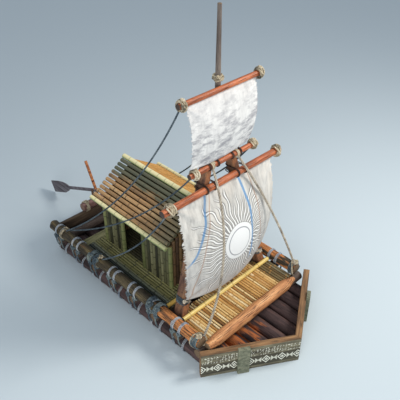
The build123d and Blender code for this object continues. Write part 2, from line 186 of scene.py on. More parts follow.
# Joints: every few points, from a start that differs from pole to pole
start = ("RandomValue FLOAT", 0.0, 50.0, ("MULTIPLY", piece, 1.0), given["Seed"])
left = add(tree, "FLOORED_MODULO", ("ADD", spline["Index"], ("FLOOR", start)), given["Joint Every"])
joint = add(tree, "LESS_THAN", left, 0.5)
marked = add(tree, "StoreNamedAttribute FLOAT", measured, True, "joint", joint)
radius = add(tree, "MULTIPLY", ("MULTIPLY_ADD", joint, given["Joint Swell"], 1.0), thick)
ring = add(tree, "CurvePrimitiveCircle RADIUS", Resolution=given["Sides"], Radius=1.0)
ring = add(tree, "StoreNamedAttribute FLOAT_VECTOR", ring, True, "across", ("InputPosition",))
solid = add(tree, "CurveToMesh", marked, Profile_Curve=ring, Scale=radius, Fill_Caps=True)
# Own coordinates: metres along the timber and across it, and a different place for each timber
across = ("VectorMath SCALE", ("InputNamedAttribute FLOAT_VECTOR", "across"), thick)
wide, deep, _ = add(tree, "SeparateXYZ", across, out=slice(3))
along = ("MULTIPLY_ADD", piece, 7.31, ("InputNamedAttribute FLOAT", "along"))
own = add(tree, "CombineXYZ", along, wide, deep)
told = add(tree, "StoreNamedAttribute FLOAT_VECTOR", solid, True, "own", own)
long_lumps = ("VectorMath MULTIPLY", own, (0.35, 1.0, 1.0))
bumps = ("TexNoise", long_lumps, ("DIVIDE", 1.0, given["Lump Size"]), 2.0)
push = ("MULTIPLY", ("MapRange", bumps, 0.3, 0.7, -1.0, 0.0), given["Lump Height"])
lumpy = add(tree, "SetPosition", told, Offset=("VectorMath SCALE", ("InputNormal",), push))
flat = ("GREATER_THAN", add(tree, "InputMeshFaceNeighbors", out="Vertex Count"), 4.5)
ended = add(tree, "StoreNamedAttribute FLOAT", lumpy, True, "end", flat, domain="FACE")
add(tree, "GroupOutput", ("SetMaterial", ("RealizeInstances", ended), True, given["Finish"]))


def grow(name, runs, tree, finish, chamfer=0.0, **inputs):
    """Grows axis lines by a tree into a plain mesh; a run is its radius, or each point's, and its points."""
    points, edges, thick, piece = [], [], [], []
    for number, (radius, run) in enumerate(runs):
        edges += [(len(points) + k, len(points) + k + 1) for k in range(len(run) - 1)]
        points += [tuple(point) for point in run]
        thick += radius if isinstance(radius, list) else [radius] * len(run)
        piece += [float(number)] * len(run)
    source = in_scene(name + "_lines", bpy.data.meshes.new(name + "_lines"))
    source.data.from_pydata(points, edges, [])
    source.data.attributes.new("thick", "FLOAT", "POINT").data.foreach_set("value", thick)
    source.data.attributes.new("piece", "FLOAT", "POINT").data.foreach_set("value", piece)
    modifier = source.modifiers.new("grow", "NODES")
    modifier.node_group = tree
    inputs = {key.replace("_", " "): value for key, value in inputs.items()}
    inputs["Finish"] = finish
    for socket in tree.interface.items_tree:
        if socket.in_out == "INPUT" and socket.name in inputs:
            modifier[socket.identifier] = inputs[socket.name]
    graph = bpy.context.evaluated_depsgraph_get()
    made = bpy.data.meshes.new_from_object(source.evaluated_get(graph), depsgraph=graph)
    source.modifiers.clear()
    bpy.data.objects.remove(source)
    made.name = name
    if chamfer:
        work = bmesh.new()
        work.from_mesh(made)
        caps = [f for f in work.faces if len(f.verts) > 4]
        bmesh.ops.inset_individual(work, faces=caps, thickness=chamfer, depth=chamfer * 0.7)
        work.to_mesh(made)
        work.free()
    made.polygons.foreach_set("use_smooth", [True] * len(made.polygons))
    made.set_sharp_from_angle(angle=math.radians(40))
    return in_scene(name, made)


def fit(piece, slot, *nodes, body="raft"):
    """Rides a piece on its body, in place of the CAD nodes that it stands for; slot is not used."""
    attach(piece, body)
    for node in nodes:
        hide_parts(node)


def own_coordinates(tree, scale):
    """The timbers' own coordinates, stretched for a pattern."""
    return add(tree, "Mapping", add(tree, "Attribute", attribute_name="own", out="Vector"), Scale=scale)


def coat(tree, colour, height=None, strength=0.3, depth=0.006):
    """Gives a finish its colour and a relief of so many metres."""
    shader = tree.nodes["Principled BSDF"]
    tree.links.new(colour, shader.inputs["Base Color"])
    if height is not None:
        relief = add(tree, "Bump", Height=height, Strength=strength, Distance=depth)
        tree.links.new(relief, shader.inputs["Normal"])


def barked_timber(name, stops, crack="2A1F20", patch=None, patch_place=0.56, end=("8A7358", "5A4636"),
                  roughness=0.75, painted_sunlight=None, split_at=0.40):
    """Peeled and weathered log: colour drifts along the grain, dark drying cracks, ringed sawn ends."""
    made, tree = new_finish(name, roughness, 0.35)
    tone = add(tree, "TexNoise", own_coordinates(tree, (0.9, 5.0, 5.0)), 1.0, 5.0, 0.6)
    colour = add(tree, "ValToRGB", tone, stops=stops)
    if patch:
        spots = add(tree, "TexNoise", own_coordinates(tree, (0.8, 3.0, 3.0)), 1.3, 4.0, 0.65)
        here = ("MapRange", spots, patch_place, patch_place + 0.08)
        colour = add(tree, "Mix RGBA", here, colour, patch)
    # Drying cracks 3 to 6 mm wide, drawn about 8 mm wide so that they show
    grain = add(tree, "TexNoise", own_coordinates(tree, (2.2, 60.0, 60.0)), 1.0, 3.0, 0.6)
    split = add(tree, "MapRange", grain, split_at - 0.04, split_at + 0.04, 1.0, 0.0)
    if painted_sunlight:
        # Painted sunlight over one part of the raft: a soft-edged oval in plan
        (x, y), (wide, deep), shade = painted_sunlight
        at_x, at_y, _ = add(tree, "SeparateXYZ", add(tree, "TexCoord", out="Object"), out=slice(3))
        off_x, off_y = ("DIVIDE", ("SUBTRACT", at_x, x), wide), ("DIVIDE", ("SUBTRACT", at_y, y), deep)
        reach = add(tree, "VectorMath LENGTH", ("CombineXYZ", off_x, off_y))
        ragged = add(tree, "TexNoise", own_coordinates(tree, (1.6, 6.0, 6.0)), 1.6, 4.0, 0.6)
        edge = ("MapRange", ("MULTIPLY_ADD", ragged, -1.6, reach), 0.22, 0.02)
        # bare is the share of painted sunlight at each place
        bare = ("MULTIPLY", edge, ("MapRange", tone, 0.45, 0.53))
        colour = add(tree, "Mix RGBA", bare, colour, shade)
    colour = add(tree, "Mix RGBA", split, colour, crack)
    # End grain: rings about the heart
    own = add(tree, "Attribute", attribute_name="own", out="Vector")
    reach = ("VectorMath LENGTH", ("VectorMath MULTIPLY", own, (0, 1, 1)))
    rings = ("MapRange", ("SINE", ("MULTIPLY", reach, 260.0)), -1.0, 1.0)
    cut = add(tree, "Attribute", attribute_name="end", out="Fac")
    coat(tree, add(tree, "Mix RGBA", cut, colour, ("Mix RGBA", rings, *end)), grain, 0.55, 0.02)
    return made


# The hull logs' orange-brown oval to starboard by the front beam is painted sunlight.
hull_wood = barked_timber("weathered_softwood_log",
                          ((0.30, "2B2223"), (0.45, "453635"), (0.60, "5A4543"), (0.75, "70564C")),
                          patch="7A452E", patch_place=0.66, painted_sunlight=((3.74, -0.62), (0.50, 0.62), "BC6E3C"))
runs = [(HULL_R, [(DATUM + s, i * HULL_PITCH, HULL_R) for s in (HULL_AFT[abs(i)], BOW_APEX)])
        for i in range(-4, 5)]
hull = grow("hull_log_timbers", runs, round_timbers, hull_wood, Sides=28, Segment=0.12, Lump_Height=0.012,
            Lump_Size=0.22, Seed=4)
slope = math.hypot(BOW_APEX - BOW_END_STATION, BOW_END_Y)
nx, ny = BOW_END_Y / slope, (BOW_APEX - BOW_END_STATION) / slope
inner_apex = DATUM + BOW_APEX - BOARD_T / nx
work = bmesh.new()
work.from_mesh(hull.data)
end_layer = work.faces.layers.float.get("end")
for side in (1, -1):
    everything = work.verts[:] + work.edges[:] + work.faces[:]
    bmesh.ops.bisect_plane(work, geom=everything, plane_co=(inner_apex - 0.002, 0, 0),
                           plane_no=(nx, side * ny, 0), clear_outer=True)
    open_edges = [e for e in work.edges if e.is_boundary]
    for f in bmesh.ops.holes_fill(work, edges=open_edges, sides=0)["faces"]:
        f[end_layer] = 1.0
bmesh.ops.recalc_face_normals(work, faces=work.faces)
work.to_mesh(hull.data)
work.free()
hull.data.set_sharp_from_angle(angle=math.radians(40))
fit(hull, "hull_timber", "hull_logs")

# Crossbeams: eight round poles laid over the hull logs and lashed down, peeled wood gone grey.
# The hull's lashings and the gunwales' places follow from them.
CROSS_R = 0.125
CROSS_Z = 2 * HULL_R + CROSS_R
CROSS_HALF = 1.870
CROSS_STATIONS = (-5.680, -4.860, -4.040, -3.220, -2.410, -1.590, -0.770, -0.040)
beam_wood = barked_timber("grey_peeled_pole", ((0.30, "3E3733"), (0.50, "5C4F47"), (0.72, "76665A")))
runs = [(CROSS_R, [(DATUM + s, y, CROSS_Z) for y in (-CROSS_HALF, CROSS_HALF)]) for s in CROSS_STATIONS]
fit(grow("crossbeam_poles", runs, round_timbers, beam_wood, 0.008, Sides=16, Segment=0.12, Lump_Height=0.006,
         Lump_Size=0.15, Seed=9), "bamboo_green", "crossbeams")

# Gunwales: one long round log down each side on the beam ends, brown and olive, with painted sunlight in
# orange-brown over its fore part.
GUNWALE_R = 0.150
GUNWALE_Y = 1.750
GUNWALE_Z = CROSS_Z + CROSS_R + GUNWALE_R
gunwale_wood = barked_timber(
    "gunwale_log_with_painted_sunlight", ((0.30, "282420"), (0.44, "453D2F"), (0.58, "6B5D41"), (0.76, "9A8457")), "1C1814",
    "8A5A3C", 0.62, painted_sunlight=((3.0, 0.0), (1.05, 8.0), "CC854E"), split_at=0.45)
runs = [(GUNWALE_R, [(DATUM + s, y, GUNWALE_Z) for s in (-6.120, -0.055)]) for y in (-GUNWALE_Y, GUNWALE_Y)]
fit(grow("gunwale_timbers", runs, round_timbers, gunwale_wood, 0.012, Sides=24, Segment=0.10,
         Lump_Height=0.020, Lump_Size=0.20, Seed=2), "hull_timber", "gunwale_logs")

# Front beam: a thick hewn spar across the fore end of the deck, tan-brown, tapered to both ends and laid
# in the angle between the foremost crossbeam and the deck.
front_wood = barked_timber(
    "hewn_front_beam_timber", ((0.28, "84563A"), (0.44, "B67B4F"), (0.58, "D89C68"), (0.76, "E9BA8A")),
    "4A2D1E", "6E4A34", 0.60, roughness=0.62, split_at=0.42)
FRONT_R = 0.150
FRONT_Z = CROSS_Z + math.sqrt((CROSS_R + FRONT_R) ** 2 - 0.135 ** 2)
points = [(DATUM + 0.095, y, FRONT_Z) for y in (-1.700, -1.440, 1.110, 1.450)]
fit(grow("front_beam_timber", [([0.095, FRONT_R, FRONT_R, 0.060], points)], round_timbers, front_wood, 0.02,
         Sides=24, Segment=0.06, Lump_Height=0.010, Lump_Size=0.14, Seed=6), "hewn_timber", "front_beam")


# Bow boards: two wide sawn boards meeting in a V, weathered grey-brown, painted outside with a dotted
# band over a band of cream diamonds, their edges worn round.
def worn_copy(name, node, round_off, finish):
    """A CAD node's shape with worn edges."""
    shape = bmesh.new()
    shape.from_mesh(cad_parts[node].data)
    bmesh.ops.remove_doubles(shape, verts=shape.verts, dist=1e-5)
    bmesh.ops.dissolve_limit(shape, angle_limit=math.radians(2), verts=shape.verts, edges=shape.edges)
    sharp = [e for e in shape.edges if len(e.link_faces) == 2 and e.calc_face_angle(0) > math.radians(30)]
    bmesh.ops.bevel(shape, geom=sharp, offset=round_off, segments=2, affect="EDGES", profile=0.6)
    made = bpy.data.meshes.new(name)
    shape.to_mesh(made)
    shape.free()
    made.materials.append(finish)
    made.polygons.foreach_set("use_smooth", [True] * len(made.polygons))
    made.set_sharp_from_angle(angle=math.radians(35))
    return in_scene(name, made)


ALONG, ACROSS = 0.0, math.pi / 2


def sawn_board(name, stops, turn, crack="3A322A", roughness=0.8, paint=None):
    """Weathered board: streaks and fine cracks along it, at a turn from the raft's length; then its paint."""
    made, tree = new_finish(name, roughness, 0.3)
    lined = add(tree, "Mapping", add(tree, "TexCoord", out="Object"), Rotation=(0, 0, -turn))
    tone = add(tree, "TexNoise", add(tree, "Mapping", lined, Scale=(1.2, 14.0, 14.0)), 1.0, 6.0, 0.62)
    grain = add(tree, "TexNoise", add(tree, "Mapping", lined, Scale=(3.0, 90.0, 90.0)), 1.0, 3.0)
    split = ("MapRange", grain, 0.34, 0.42, 1.0, 0.0)
    colour = add(tree, "Mix RGBA", split, add(tree, "ValToRGB", tone, stops=stops), crack)
    coat(tree, paint(tree, lined, colour) if paint else colour, grain, 0.4, 0.01)
    return made


# The painted bands: heights are above the floor plane, lengths along the board from the row's datum
MOTIF_PITCH = 0.384
MOTIF_START = 0.327
DIAMOND_Z = 0.285
DIAMOND_HALF = (0.112, 0.128)
DOT_BAND = (0.450, 0.690)


def bands_for(side):
    """The paint of the board on one side of the bow, as a function that lays it over the bare wood."""
    def bands(tree, lined, bare):
        u, _, v = add(tree, "SeparateXYZ", lined, out=slice(3))
        # Diamonds with a smaller one inside each and a bow tie between; reach is 1 on a diamond's edge
        across = add(tree, "PINGPONG", ("SUBTRACT", u, MOTIF_START), MOTIF_PITCH / 2)
        height = add(tree, "ABSOLUTE", ("SUBTRACT", v, DIAMOND_Z))
        reach = add(tree, "ADD", ("DIVIDE", across, DIAMOND_HALF[0]), ("DIVIDE", height, DIAMOND_HALF[1]))
        outline = ("MULTIPLY", ("LESS_THAN", reach, 1.0), ("GREATER_THAN", reach, 0.74))
        heart = ("MULTIPLY", ("LESS_THAN", reach, 0.42), ("GREATER_THAN", reach, 0.16))
        inner = ("MULTIPLY", ("LESS_THAN", reach, 0.74), ("GREATER_THAN", reach, 0.42))
        from_tie = add(tree, "SUBTRACT", MOTIF_PITCH / 2, across)
        wings = ("LESS_THAN", ("SUBTRACT", height, ("MULTIPLY", from_tie, 1.05)), 0.008)
        tie = ("MULTIPLY", wings, ("MULTIPLY", ("LESS_THAN", from_tie, 0.076), ("GREATER_THAN", reach, 1.12)))
        motif = ("MAXIMUM", ("MAXIMUM", outline, heart), ("MULTIPLY", tie, 0.72))
        # Dots 68 mm apart in rows 56 mm apart, jittered and patchy
        slip = add(tree, "TexNoise", lined, 14.0, 2.0)
        dot_u = add(tree, "PINGPONG", ("MULTIPLY_ADD", slip, 0.12, u), 0.034)
        dot_v = add(tree, "PINGPONG", ("MULTIPLY_ADD", slip, -0.07, v), 0.028)
        dots = ("LESS_THAN", ("ADD", ("MULTIPLY", dot_u, dot_u), ("MULTIPLY", dot_v, dot_v)), 0.00030)
        dots = ("MULTIPLY", dots, ("GREATER_THAN", ("TexNoise", lined, 9.0, 3.0, 0.7), 0.46))
        above = ("MULTIPLY", ("GREATER_THAN", v, DOT_BAND[0]), ("LESS_THAN", v, DOT_BAND[1]))
        motif = ("MAXIMUM", motif, ("MULTIPLY", ("MULTIPLY", dots, above), 0.70))
        left = ("MapRange", ("TexNoise", lined, 16.0, 4.0, 0.7), 0.28, 0.38)
        band = ("MULTIPLY", ("GREATER_THAN", v, 0.140), ("LESS_THAN", v, 0.430))
        line = ("LESS_THAN", ("ABSOLUTE", ("SUBTRACT", v, 0.132)), 0.008)
        ground = ("MAXIMUM", ("MAXIMUM", ("MULTIPLY", band, 0.62), line), inner)
        outer = ("VectorMath DOT_PRODUCT", add(tree, "NewGeometry", out="Normal"), (nx, side * ny, 0))
        faced = add(tree, "GREATER_THAN", outer, 0.8)
        fade = ("TexNoise", add(tree, "Mapping", lined, Scale=(1.4, 11.0, 11.0)), 1.0, 6.0, 0.7)
        grey = add(tree, "ValToRGB", fade, stops=((0.30, "38322A"), (0.44, "5A5446"), (0.56, "78735E"),
                                                  (0.74, "9C937A")))
        weathered = ("Mix RGBA", faced, bare, grey)
        darker = ("Mix RGBA", ("MULTIPLY", ground, faced), weathered, "2F2C26")
        return add(tree, "Mix RGBA", ("MULTIPLY", ("MULTIPLY", motif, left), faced), darker, "EFEEDD")
    return bands


for name, side in (("port", 1), ("starboard", -1)):
    board_wood = sawn_board("painted_weathered_board_" + name, (
        (0.28, "57432F"), (0.45, "7E5F43"), (0.60, "9C7752"), (0.75, "B58E64")), math.atan2(-side * nx, ny),
        paint=bands_for(side))
    fit(worn_copy("bow_board_%s_side" % name, "bow_board_" + name, 0.010, board_wood), "sawn_board",
        "bow_board_" + name)

# Cleats: an upright pinned to the outside of each bow board, grey-green weathered board, whose grain is
# drawn along the raft.
cleat_wood = sawn_board("weathered_upright_board", ((0.30, "565A4A"), (0.50, "777A66"), (0.72, "94917A")),
                        ALONG)
fit(worn_copy("bow_cleat_boards", "bow_cleats", 0.006, cleat_wood), "sawn_board", "bow_cleats")

# Stern board: a thick sawn board on edge between the gunwales, dark and damp, which carries the steering
# log.
stern_wood = sawn_board("damp_sawn_board", ((0.30, "3A3029"), (0.50, "5A4A3C"), (0.72, "77634F")), ACROSS)
fit(worn_copy("stern_board_plank", "stern_board", 0.010, stern_wood), "hewn_timber", "stern_board")

# Deck: bamboo poles about 70 mm thick laid side by side along the raft, with a joint every half metre,
# olive-grey and weathered aft, dry gold on the fore deck, whose port edge has painted shade in dark olive.
# One node tree lays the row, another makes it round.
POLE_R = 0.0375
POLE_PITCH = 0.077
POLE_COUNT = 41
POLE_Z = CROSS_Z + CROSS_R + POLE_R
DECK_TOP = POLE_Z + POLE_R
pole_rows, given = new_tree("pole_row", Count=10, First=(0, 0, 0), Step=(0, 0.1, 0), Run=(1, 0, 0),
                            Radius=0.04, Radius_Spread=0.0, End_Spread=0.0, Sides=10, Segment=0.08, **ROUND)
tree = pole_rows
row = ("MeshLine OFFSET", given["Count"], given["First"], given["Step"])
row = ("StoreNamedAttribute FLOAT", row, True, "piece", ("InputIndex",))
placed = add(tree, "InstanceOnPoints", Points=row, Instance=("MeshLine OFFSET", 2, (0, 0, 0), given["Run"]))
piece = ("InputNamedAttribute FLOAT", "piece")
spread = ("RandomValue FLOAT", -1.0, 1.0, piece, given["Seed"])
thick = ("MULTIPLY_ADD", spread, given["Radius Spread"], given["Radius"])
sized = add(tree, "StoreNamedAttribute FLOAT", ("RealizeInstances", placed), True, "thick", thick)
# Ends: each point of a pole moves inward by its own share of the spread
short = add(tree, "RandomValue FLOAT", 0.0, 1.0, Seed=given["Seed"])
inward = add(tree, "VectorMath NORMALIZE", given["Run"])
half = ("MULTIPLY", ("VectorMath DOT_PRODUCT", given["Run"], inward), 0.5)
how_far = ("VectorMath DOT_PRODUCT", ("VectorMath SUBTRACT", ("InputPosition",), given["First"]), inward)
amount = ("MULTIPLY", ("SIGN", ("SUBTRACT", half, how_far)), ("MULTIPLY", short, given["End Spread"]))
trimmed = add(tree, "SetPosition", sized, Offset=("VectorMath SCALE", inward, amount))
handed_on = {name: given[name] for name in ("Sides", "Segment", "Joint Every", "Joint Swell", "Lump Height",
                                            "Lump Size", "Seed", "Finish")}
rounded = add(tree, "GeometryNodeGroup", node_tree=round_timbers, Lines=trimmed, **handed_on)
add(tree, "GroupOutput", ("SetMaterial", ("RealizeInstances", rounded), True, given["Finish"]))


def bamboo(name, stops, joint, streak, roughness=0.5, spread=0.55, tint_and_painted_light=None):
    """Bamboo culm: each pole its own tone, fine streaks along it, a dark ring at each joint, a waxy gloss.

    tint_and_painted_light gives the raft's y where a second colour starts, where it is full, and that colour:
    a real tint on the main deck, painted shade on the fore deck.
    """
    made, tree = new_finish(name, roughness, 0.4)
    piece = add(tree, "Attribute", attribute_name="piece", out="Fac")
    drift = add(tree, "TexNoise", own_coordinates(tree, (0.9, 8.0, 8.0)), 1.0, 4.0, 0.6)
    part = ("MULTIPLY", ("TexWhiteNoise 1D", piece), spread)
    colour = add(tree, "ValToRGB", ("MULTIPLY_ADD", drift, 1.0 - spread, part), stops=stops)
    # Fibres about 2 mm wide, drawn about 6 mm wide so that they show
    fibre = add(tree, "TexNoise", own_coordinates(tree, (1.6, 90.0, 90.0)), 1.0, 3.0)
    if tint_and_painted_light:
        start, full, shade = tint_and_painted_light
        aside = add(tree, "SeparateXYZ", add(tree, "TexCoord", out="Object"), out="Y")
        colour = add(tree, "Mix RGBA", ("MapRange", aside, start, full, 0.0, 0.8), colour, shade)
    colour = add(tree, "Mix RGBA", ("MapRange", fibre, 0.36, 0.46, 0.75, 0.0), colour, streak)
    mark = add(tree, "Attribute", attribute_name="joint", out="Fac")
    colour = add(tree, "Mix RGBA", ("MapRange", mark, 0.72, 0.92, 0.0, 0.85), colour, joint)
    cut = add(tree, "Attribute", attribute_name="end", out="Fac")
    coat(tree, add(tree, "Mix RGBA", cut, colour, "6E5A3C"), fibre)
    return made


def lay_painted_shade(made, amount, colour):
    """Lays painted shade, one more colour, over a finish, by an amount from 0 to 1."""
    base = made.node_tree.nodes["Principled BSDF"].inputs["Base Color"]
    made.node_tree.links.new(add(made.node_tree, "Mix RGBA", amount, base.links[0].from_socket, colour), base)


aft_bamboo = bamboo(
    "weathered_deck_bamboo", ((0.20, "23282A"), (0.38, "3B4139"), (0.55, "565B4C"), (0.70, "7C806E"),
                              (0.86, "ADB1A4")), "33372E", "1F2320", 0.6, 0.5, tint_and_painted_light=(-1.36, -1.30, "8A8550"))
# Inside the hut, whose middle is here, the deck is darkened with painted shade
HUT_MIDDLE_X = 0.344
tree = aft_bamboo.node_tree
x, y, _ = add(tree, "SeparateXYZ", add(tree, "TexCoord", out="Object"), out=slice(3))
lengthways = ("MapRange", ("ABSOLUTE", ("SUBTRACT", x, HUT_MIDDLE_X)), 1.28, 1.33, 1.0, 0.0)
sideways = ("MapRange", ("ABSOLUTE", y), 0.90, 0.99, 0.85, 0.0)
lay_painted_shade(aft_bamboo, ("MULTIPLY", lengthways, sideways), "1C1A15")
# The fore deck's port edge is darkened to olive: painted shade.
gold_bamboo = bamboo(
    "dry_golden_bamboo", ((0.14, "563820"), (0.22, "B28044"), (0.44, "DFB06A"), (0.66, "F0CF90"),
                          (0.86, "FBEEC8")), "B5884A", "6B4318", 0.45, 0.66, tint_and_painted_light=(1.10, 1.16, "3E3F2E"))
half_row = (POLE_COUNT - 1) / 2 * POLE_PITCH
# The fore deck's four outermost poles on each side start further forward
for name, nodes, aft, fore, finish, slot, first, count, radius, spread, ends in (
        ("main_deck_bamboo", ["main_deck_poles"], -4.770, -1.385, aft_bamboo, "bamboo_green", 0,
         POLE_COUNT, 0.0345, 0.0030, 0.012),
        ("fore_deck_bamboo", ["fore_deck_poles"], -1.165, -0.055, gold_bamboo, "bamboo_gold", 4,
         POLE_COUNT - 8, 0.0315, 0.0055, 0.040),
        ("fore_deck_bamboo_starboard", [], -0.925, -0.055, gold_bamboo, "bamboo_gold", 0, 4,
         0.0340, 0.0030, 0.020),
        ("fore_deck_bamboo_port", [], -0.925, -0.055, gold_bamboo, "bamboo_gold", POLE_COUNT - 4, 4,
         0.0340, 0.0030, 0.020)):
    place = (DATUM + aft, first * POLE_PITCH - half_row, POLE_Z)
    fit(grow(name, [], pole_rows, finish, Count=count, First=place, Step=(0, POLE_PITCH, 0),
             Run=(fore - aft, 0, 0), Radius=radius, Radius_Spread=spread, End_Spread=ends, Sides=10,
             Segment=0.085, Joint_Swell=0.05, Seed=3 + first, Lump_Height=0.003, Lump_Size=0.06),
        slot, *nodes)

# Deck edges: a pale round pole across the fore deck's after edge and one across the main deck's fore
# edge, and a flat sawn plank across the after end.
EDGE_R = 0.055
EDGE_HALF = 1.550
pale_bamboo = bamboo("pale_new_bamboo", ((0.25, "C9A24E"), (0.50, "E3C572"), (0.75, "F3E19C")), "A98A48",
                     "B8944A", 0.4)
runs = [(EDGE_R, [(DATUM + s, y, DECK_TOP + EDGE_R) for y in (-EDGE_HALF, EDGE_HALF)])
        for s in (-0.860, -1.450)]
fit(grow("deck_edge_bamboo", runs, round_timbers, pale_bamboo, 0.006, Sides=14, Segment=0.07, Joint_Every=7,
         Joint_Swell=0.05, Seed=5), "bamboo_gold", "deck_edge_poles")
plank_wood = sawn_board("pale_green_plank", ((0.30, "6E6B4C"), (0.50, "8E8A62"), (0.72, "ABA57C")), ACROSS)
fit(worn_copy("aft_edge_plank", "deck_edge_plank", 0.008, plank_wood), "bamboo_green", "deck_edge_plank")

# Hut posts: six upright bamboos standing on the deck, one at each corner and one each side of the
# doorway, pale green, with a thinner one laid across the top of the doorway.
HUT_FORE = DATUM - 1.915
HUT_AFT = DATUM - 4.568
POST_R = 0.058
POST_Y = 0.975
DOOR_AFT = DATUM - 3.740 - POST_R
DOOR_FORE = DATUM - 3.010 + POST_R
green_bamboo = bamboo("green_post_bamboo", ((0.20, "484C30"), (0.45, "6A6E45"), (0.65, "8A8D5C"),
                                            (0.85, "AEAC77")), "46532F", "5A6742", 0.45, 0.3)
post_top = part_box("hut_posts")[1].z
corners = ((HUT_AFT, POST_Y), (HUT_FORE, POST_Y), (HUT_AFT, -POST_Y), (DOOR_AFT, -POST_Y),
           (DOOR_FORE, -POST_Y), (HUT_FORE, -POST_Y))
runs = [(POST_R - 0.002, [(x, y, z) for z in (DECK_TOP, post_top)]) for x, y in corners]
fit(grow("hut_post_bamboos", runs, round_timbers, green_bamboo, 0.005, Sides=16, Segment=0.075, Joint_Every=4,
         Joint_Swell=0.035, Seed=8), "bamboo_green", "hut_posts")
low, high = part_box("door_lintel")
middle = (low + high) / 2
runs = [((high.z - low.z) / 2, [(x, middle.y, middle.z) for x in (low.x, high.x)])]
fit(grow("door_lintel_bamboo", runs, round_timbers, green_bamboo, 0.004, Sides=14, Segment=0.075,
         Joint_Every=4, Joint_Swell=0.035, Seed=12), "bamboo_green", "door_lintel")

# Hut walls: upright bamboos set close between the posts, dull olive with dark gaps; the gable walls
# forward and aft stand in the roof's shade, are red-brown and are cut to the roof's slope.
RIDGE_Z = 2.940
EAVE_Z = 2.160
EAVE_Y = 1.180
ROOF_R = 0.060
RAFTER_R = 0.040
GABLE_POLES = 17
pitch = math.atan2(RIDGE_Z - EAVE_Z, EAVE_Y)
# From the roof poles' axes straight down to the underside of the rafters
rafter_drop = (ROOF_R + 2 * RAFTER_R) / math.cos(pitch) + 0.001
wall_bamboo = bamboo("olive_wall_bamboo", ((0.20, "2C2C1D"), (0.42, "474830"), (0.62, "646345"),
                                           (0.85, "878562")), "34331F", "25251A", 0.6, 0.65)
gable_bamboo = bamboo("red_brown_wall_bamboo", ((0.20, "33251B"), (0.45, "54402C"), (0.65, "6E5539"),
                                                (0.85, "86704C")), "2A1E14", "2C2016", 0.6, 0.6)
for name, node, count in (("port_wall_bamboos", "hut_wall_port", 24),
                          ("starboard_wall_bamboos_aft", "hut_wall_starboard_aft", 6),
                          ("starboard_wall_bamboos_fore", "hut_wall_starboard_fore", 9)):
    low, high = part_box(node)
    spacing = (high.x - low.x) / count
    fit(grow(name, [], pole_rows, wall_bamboo, Count=count, Step=(spacing, 0, 0), Run=(0, 0, high.z - low.z),
             First=(low.x + spacing / 2, (low.y + high.y) / 2, low.z), Radius=(high.y - low.y) / 2 - 0.007,
             Radius_Spread=0.002, Sides=12, Segment=0.10, Joint_Every=4, Joint_Swell=0.03,
             Seed=21), "bamboo_wall", node)
for name, node in (("fore_gable_bamboos", "hut_wall_fore"), ("aft_gable_bamboos", "hut_wall_aft")):
    low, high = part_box(node)
    x, radius = (low.x + high.x) / 2, (high.x - low.x) / 2
    runs = []
    for i in range(GABLE_POLES):
        y = low.y + (high.y - low.y) / GABLE_POLES * (i + 0.5)
        top = RIDGE_Z - (abs(y) + radius * 0.6) * (RIDGE_Z - EAVE_Z) / EAVE_Y - rafter_drop
        runs.append((radius - 0.002, [(x, y, DECK_TOP), (x, y, top)]))
    fit(grow(name, runs, round_timbers, gable_bamboo, 0.004, Sides=12, Segment=0.10, Joint_Every=4,
             Joint_Swell=0.03, Seed=23), "bamboo_wall", node)

# Roof frame: four pairs of thin round rafters with the bark left on, their heads meeting under the ridge
# and their feet under the eaves.
rafter_wood = barked_timber("thin_barked_rafter", ((0.3, "4A3B2A"), (0.5, "6B573E"), (0.75, "857052")))
out = Vector((0, math.sin(pitch), math.cos(pitch)))
head_y = math.sin(pitch) * (ROOF_R + 2 * RAFTER_R) + 0.002
ends = [Vector((0, y, RIDGE_Z - y * (RIDGE_Z - EAVE_Z) / EAVE_Y)) - out * (ROOF_R + RAFTER_R)
        for y in (EAVE_Y, head_y)]
runs = [(RAFTER_R - 0.001, [(x, side * p.y, p.z) for p in ends])
        for x in (HUT_FORE - 0.030, DATUM - 2.800, DATUM - 3.690, HUT_AFT + 0.030) for side in (1, -1)]
fit(grow("rafter_poles", runs, round_timbers, rafter_wood, 0.004, Sides=12, Segment=0.12, Lump_Height=0.003,
         Lump_Size=0.1, Seed=14), "bamboo_roof", "rafters")

# Roof, starboard slope: ten stout dry bamboos laid side by side from gable to gable, tan with grey lengths,
# with painted shade of the sails in grey-green forward and along the ridge, their joints showing as thin
# rings.
ROOF_POLES = 10
roof_bamboo = bamboo("dry_roof_bamboo", ((0.18, "514536"), (0.36, "8E6F4C"), (0.55, "BE9566"),
                                         (0.72, "DBB684"), (0.90, "F3DFB0")), "6E5640", "6E5644", 0.5, 0.28)
tree = roof_bamboo.node_tree
x, _, z = add(tree, "SeparateXYZ", add(tree, "TexCoord", out="Object"), out=slice(3))
# Painted shade of the sails, in grey-green, forward and along the ridge
drift = add(tree, "TexNoise", own_coordinates(tree, (0.8, 3.0, 3.0)), 1.5, 3.0)
forward = ("MapRange", ("MULTIPLY_ADD", drift, 1.4, x), 1.2, 2.2, 0.0, 0.72)
high_up = ("MapRange", ("MULTIPLY_ADD", drift, 0.30, z), 2.80, 2.88, 0.0, 0.88)
lay_painted_shade(roof_bamboo, ("MAXIMUM", forward, high_up), "515B4B")
low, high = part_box("roof_poles_starboard")
step = Vector((0, -EAVE_Y, EAVE_Z - RIDGE_Z)) / (ROOF_POLES + 1)
fit(grow("starboard_roof_bamboos", [], pole_rows, roof_bamboo, Count=ROOF_POLES, Run=(high.x - low.x, 0, 0),
         First=Vector((low.x, 0, RIDGE_Z)) + step, Step=step, Radius=0.0545, Radius_Spread=0.0018,
         Sides=14, Segment=0.08, Joint_Swell=0.035, Lump_Height=0.003, Lump_Size=0.1, Seed=31),
    "bamboo_roof", "roof_poles_starboard")
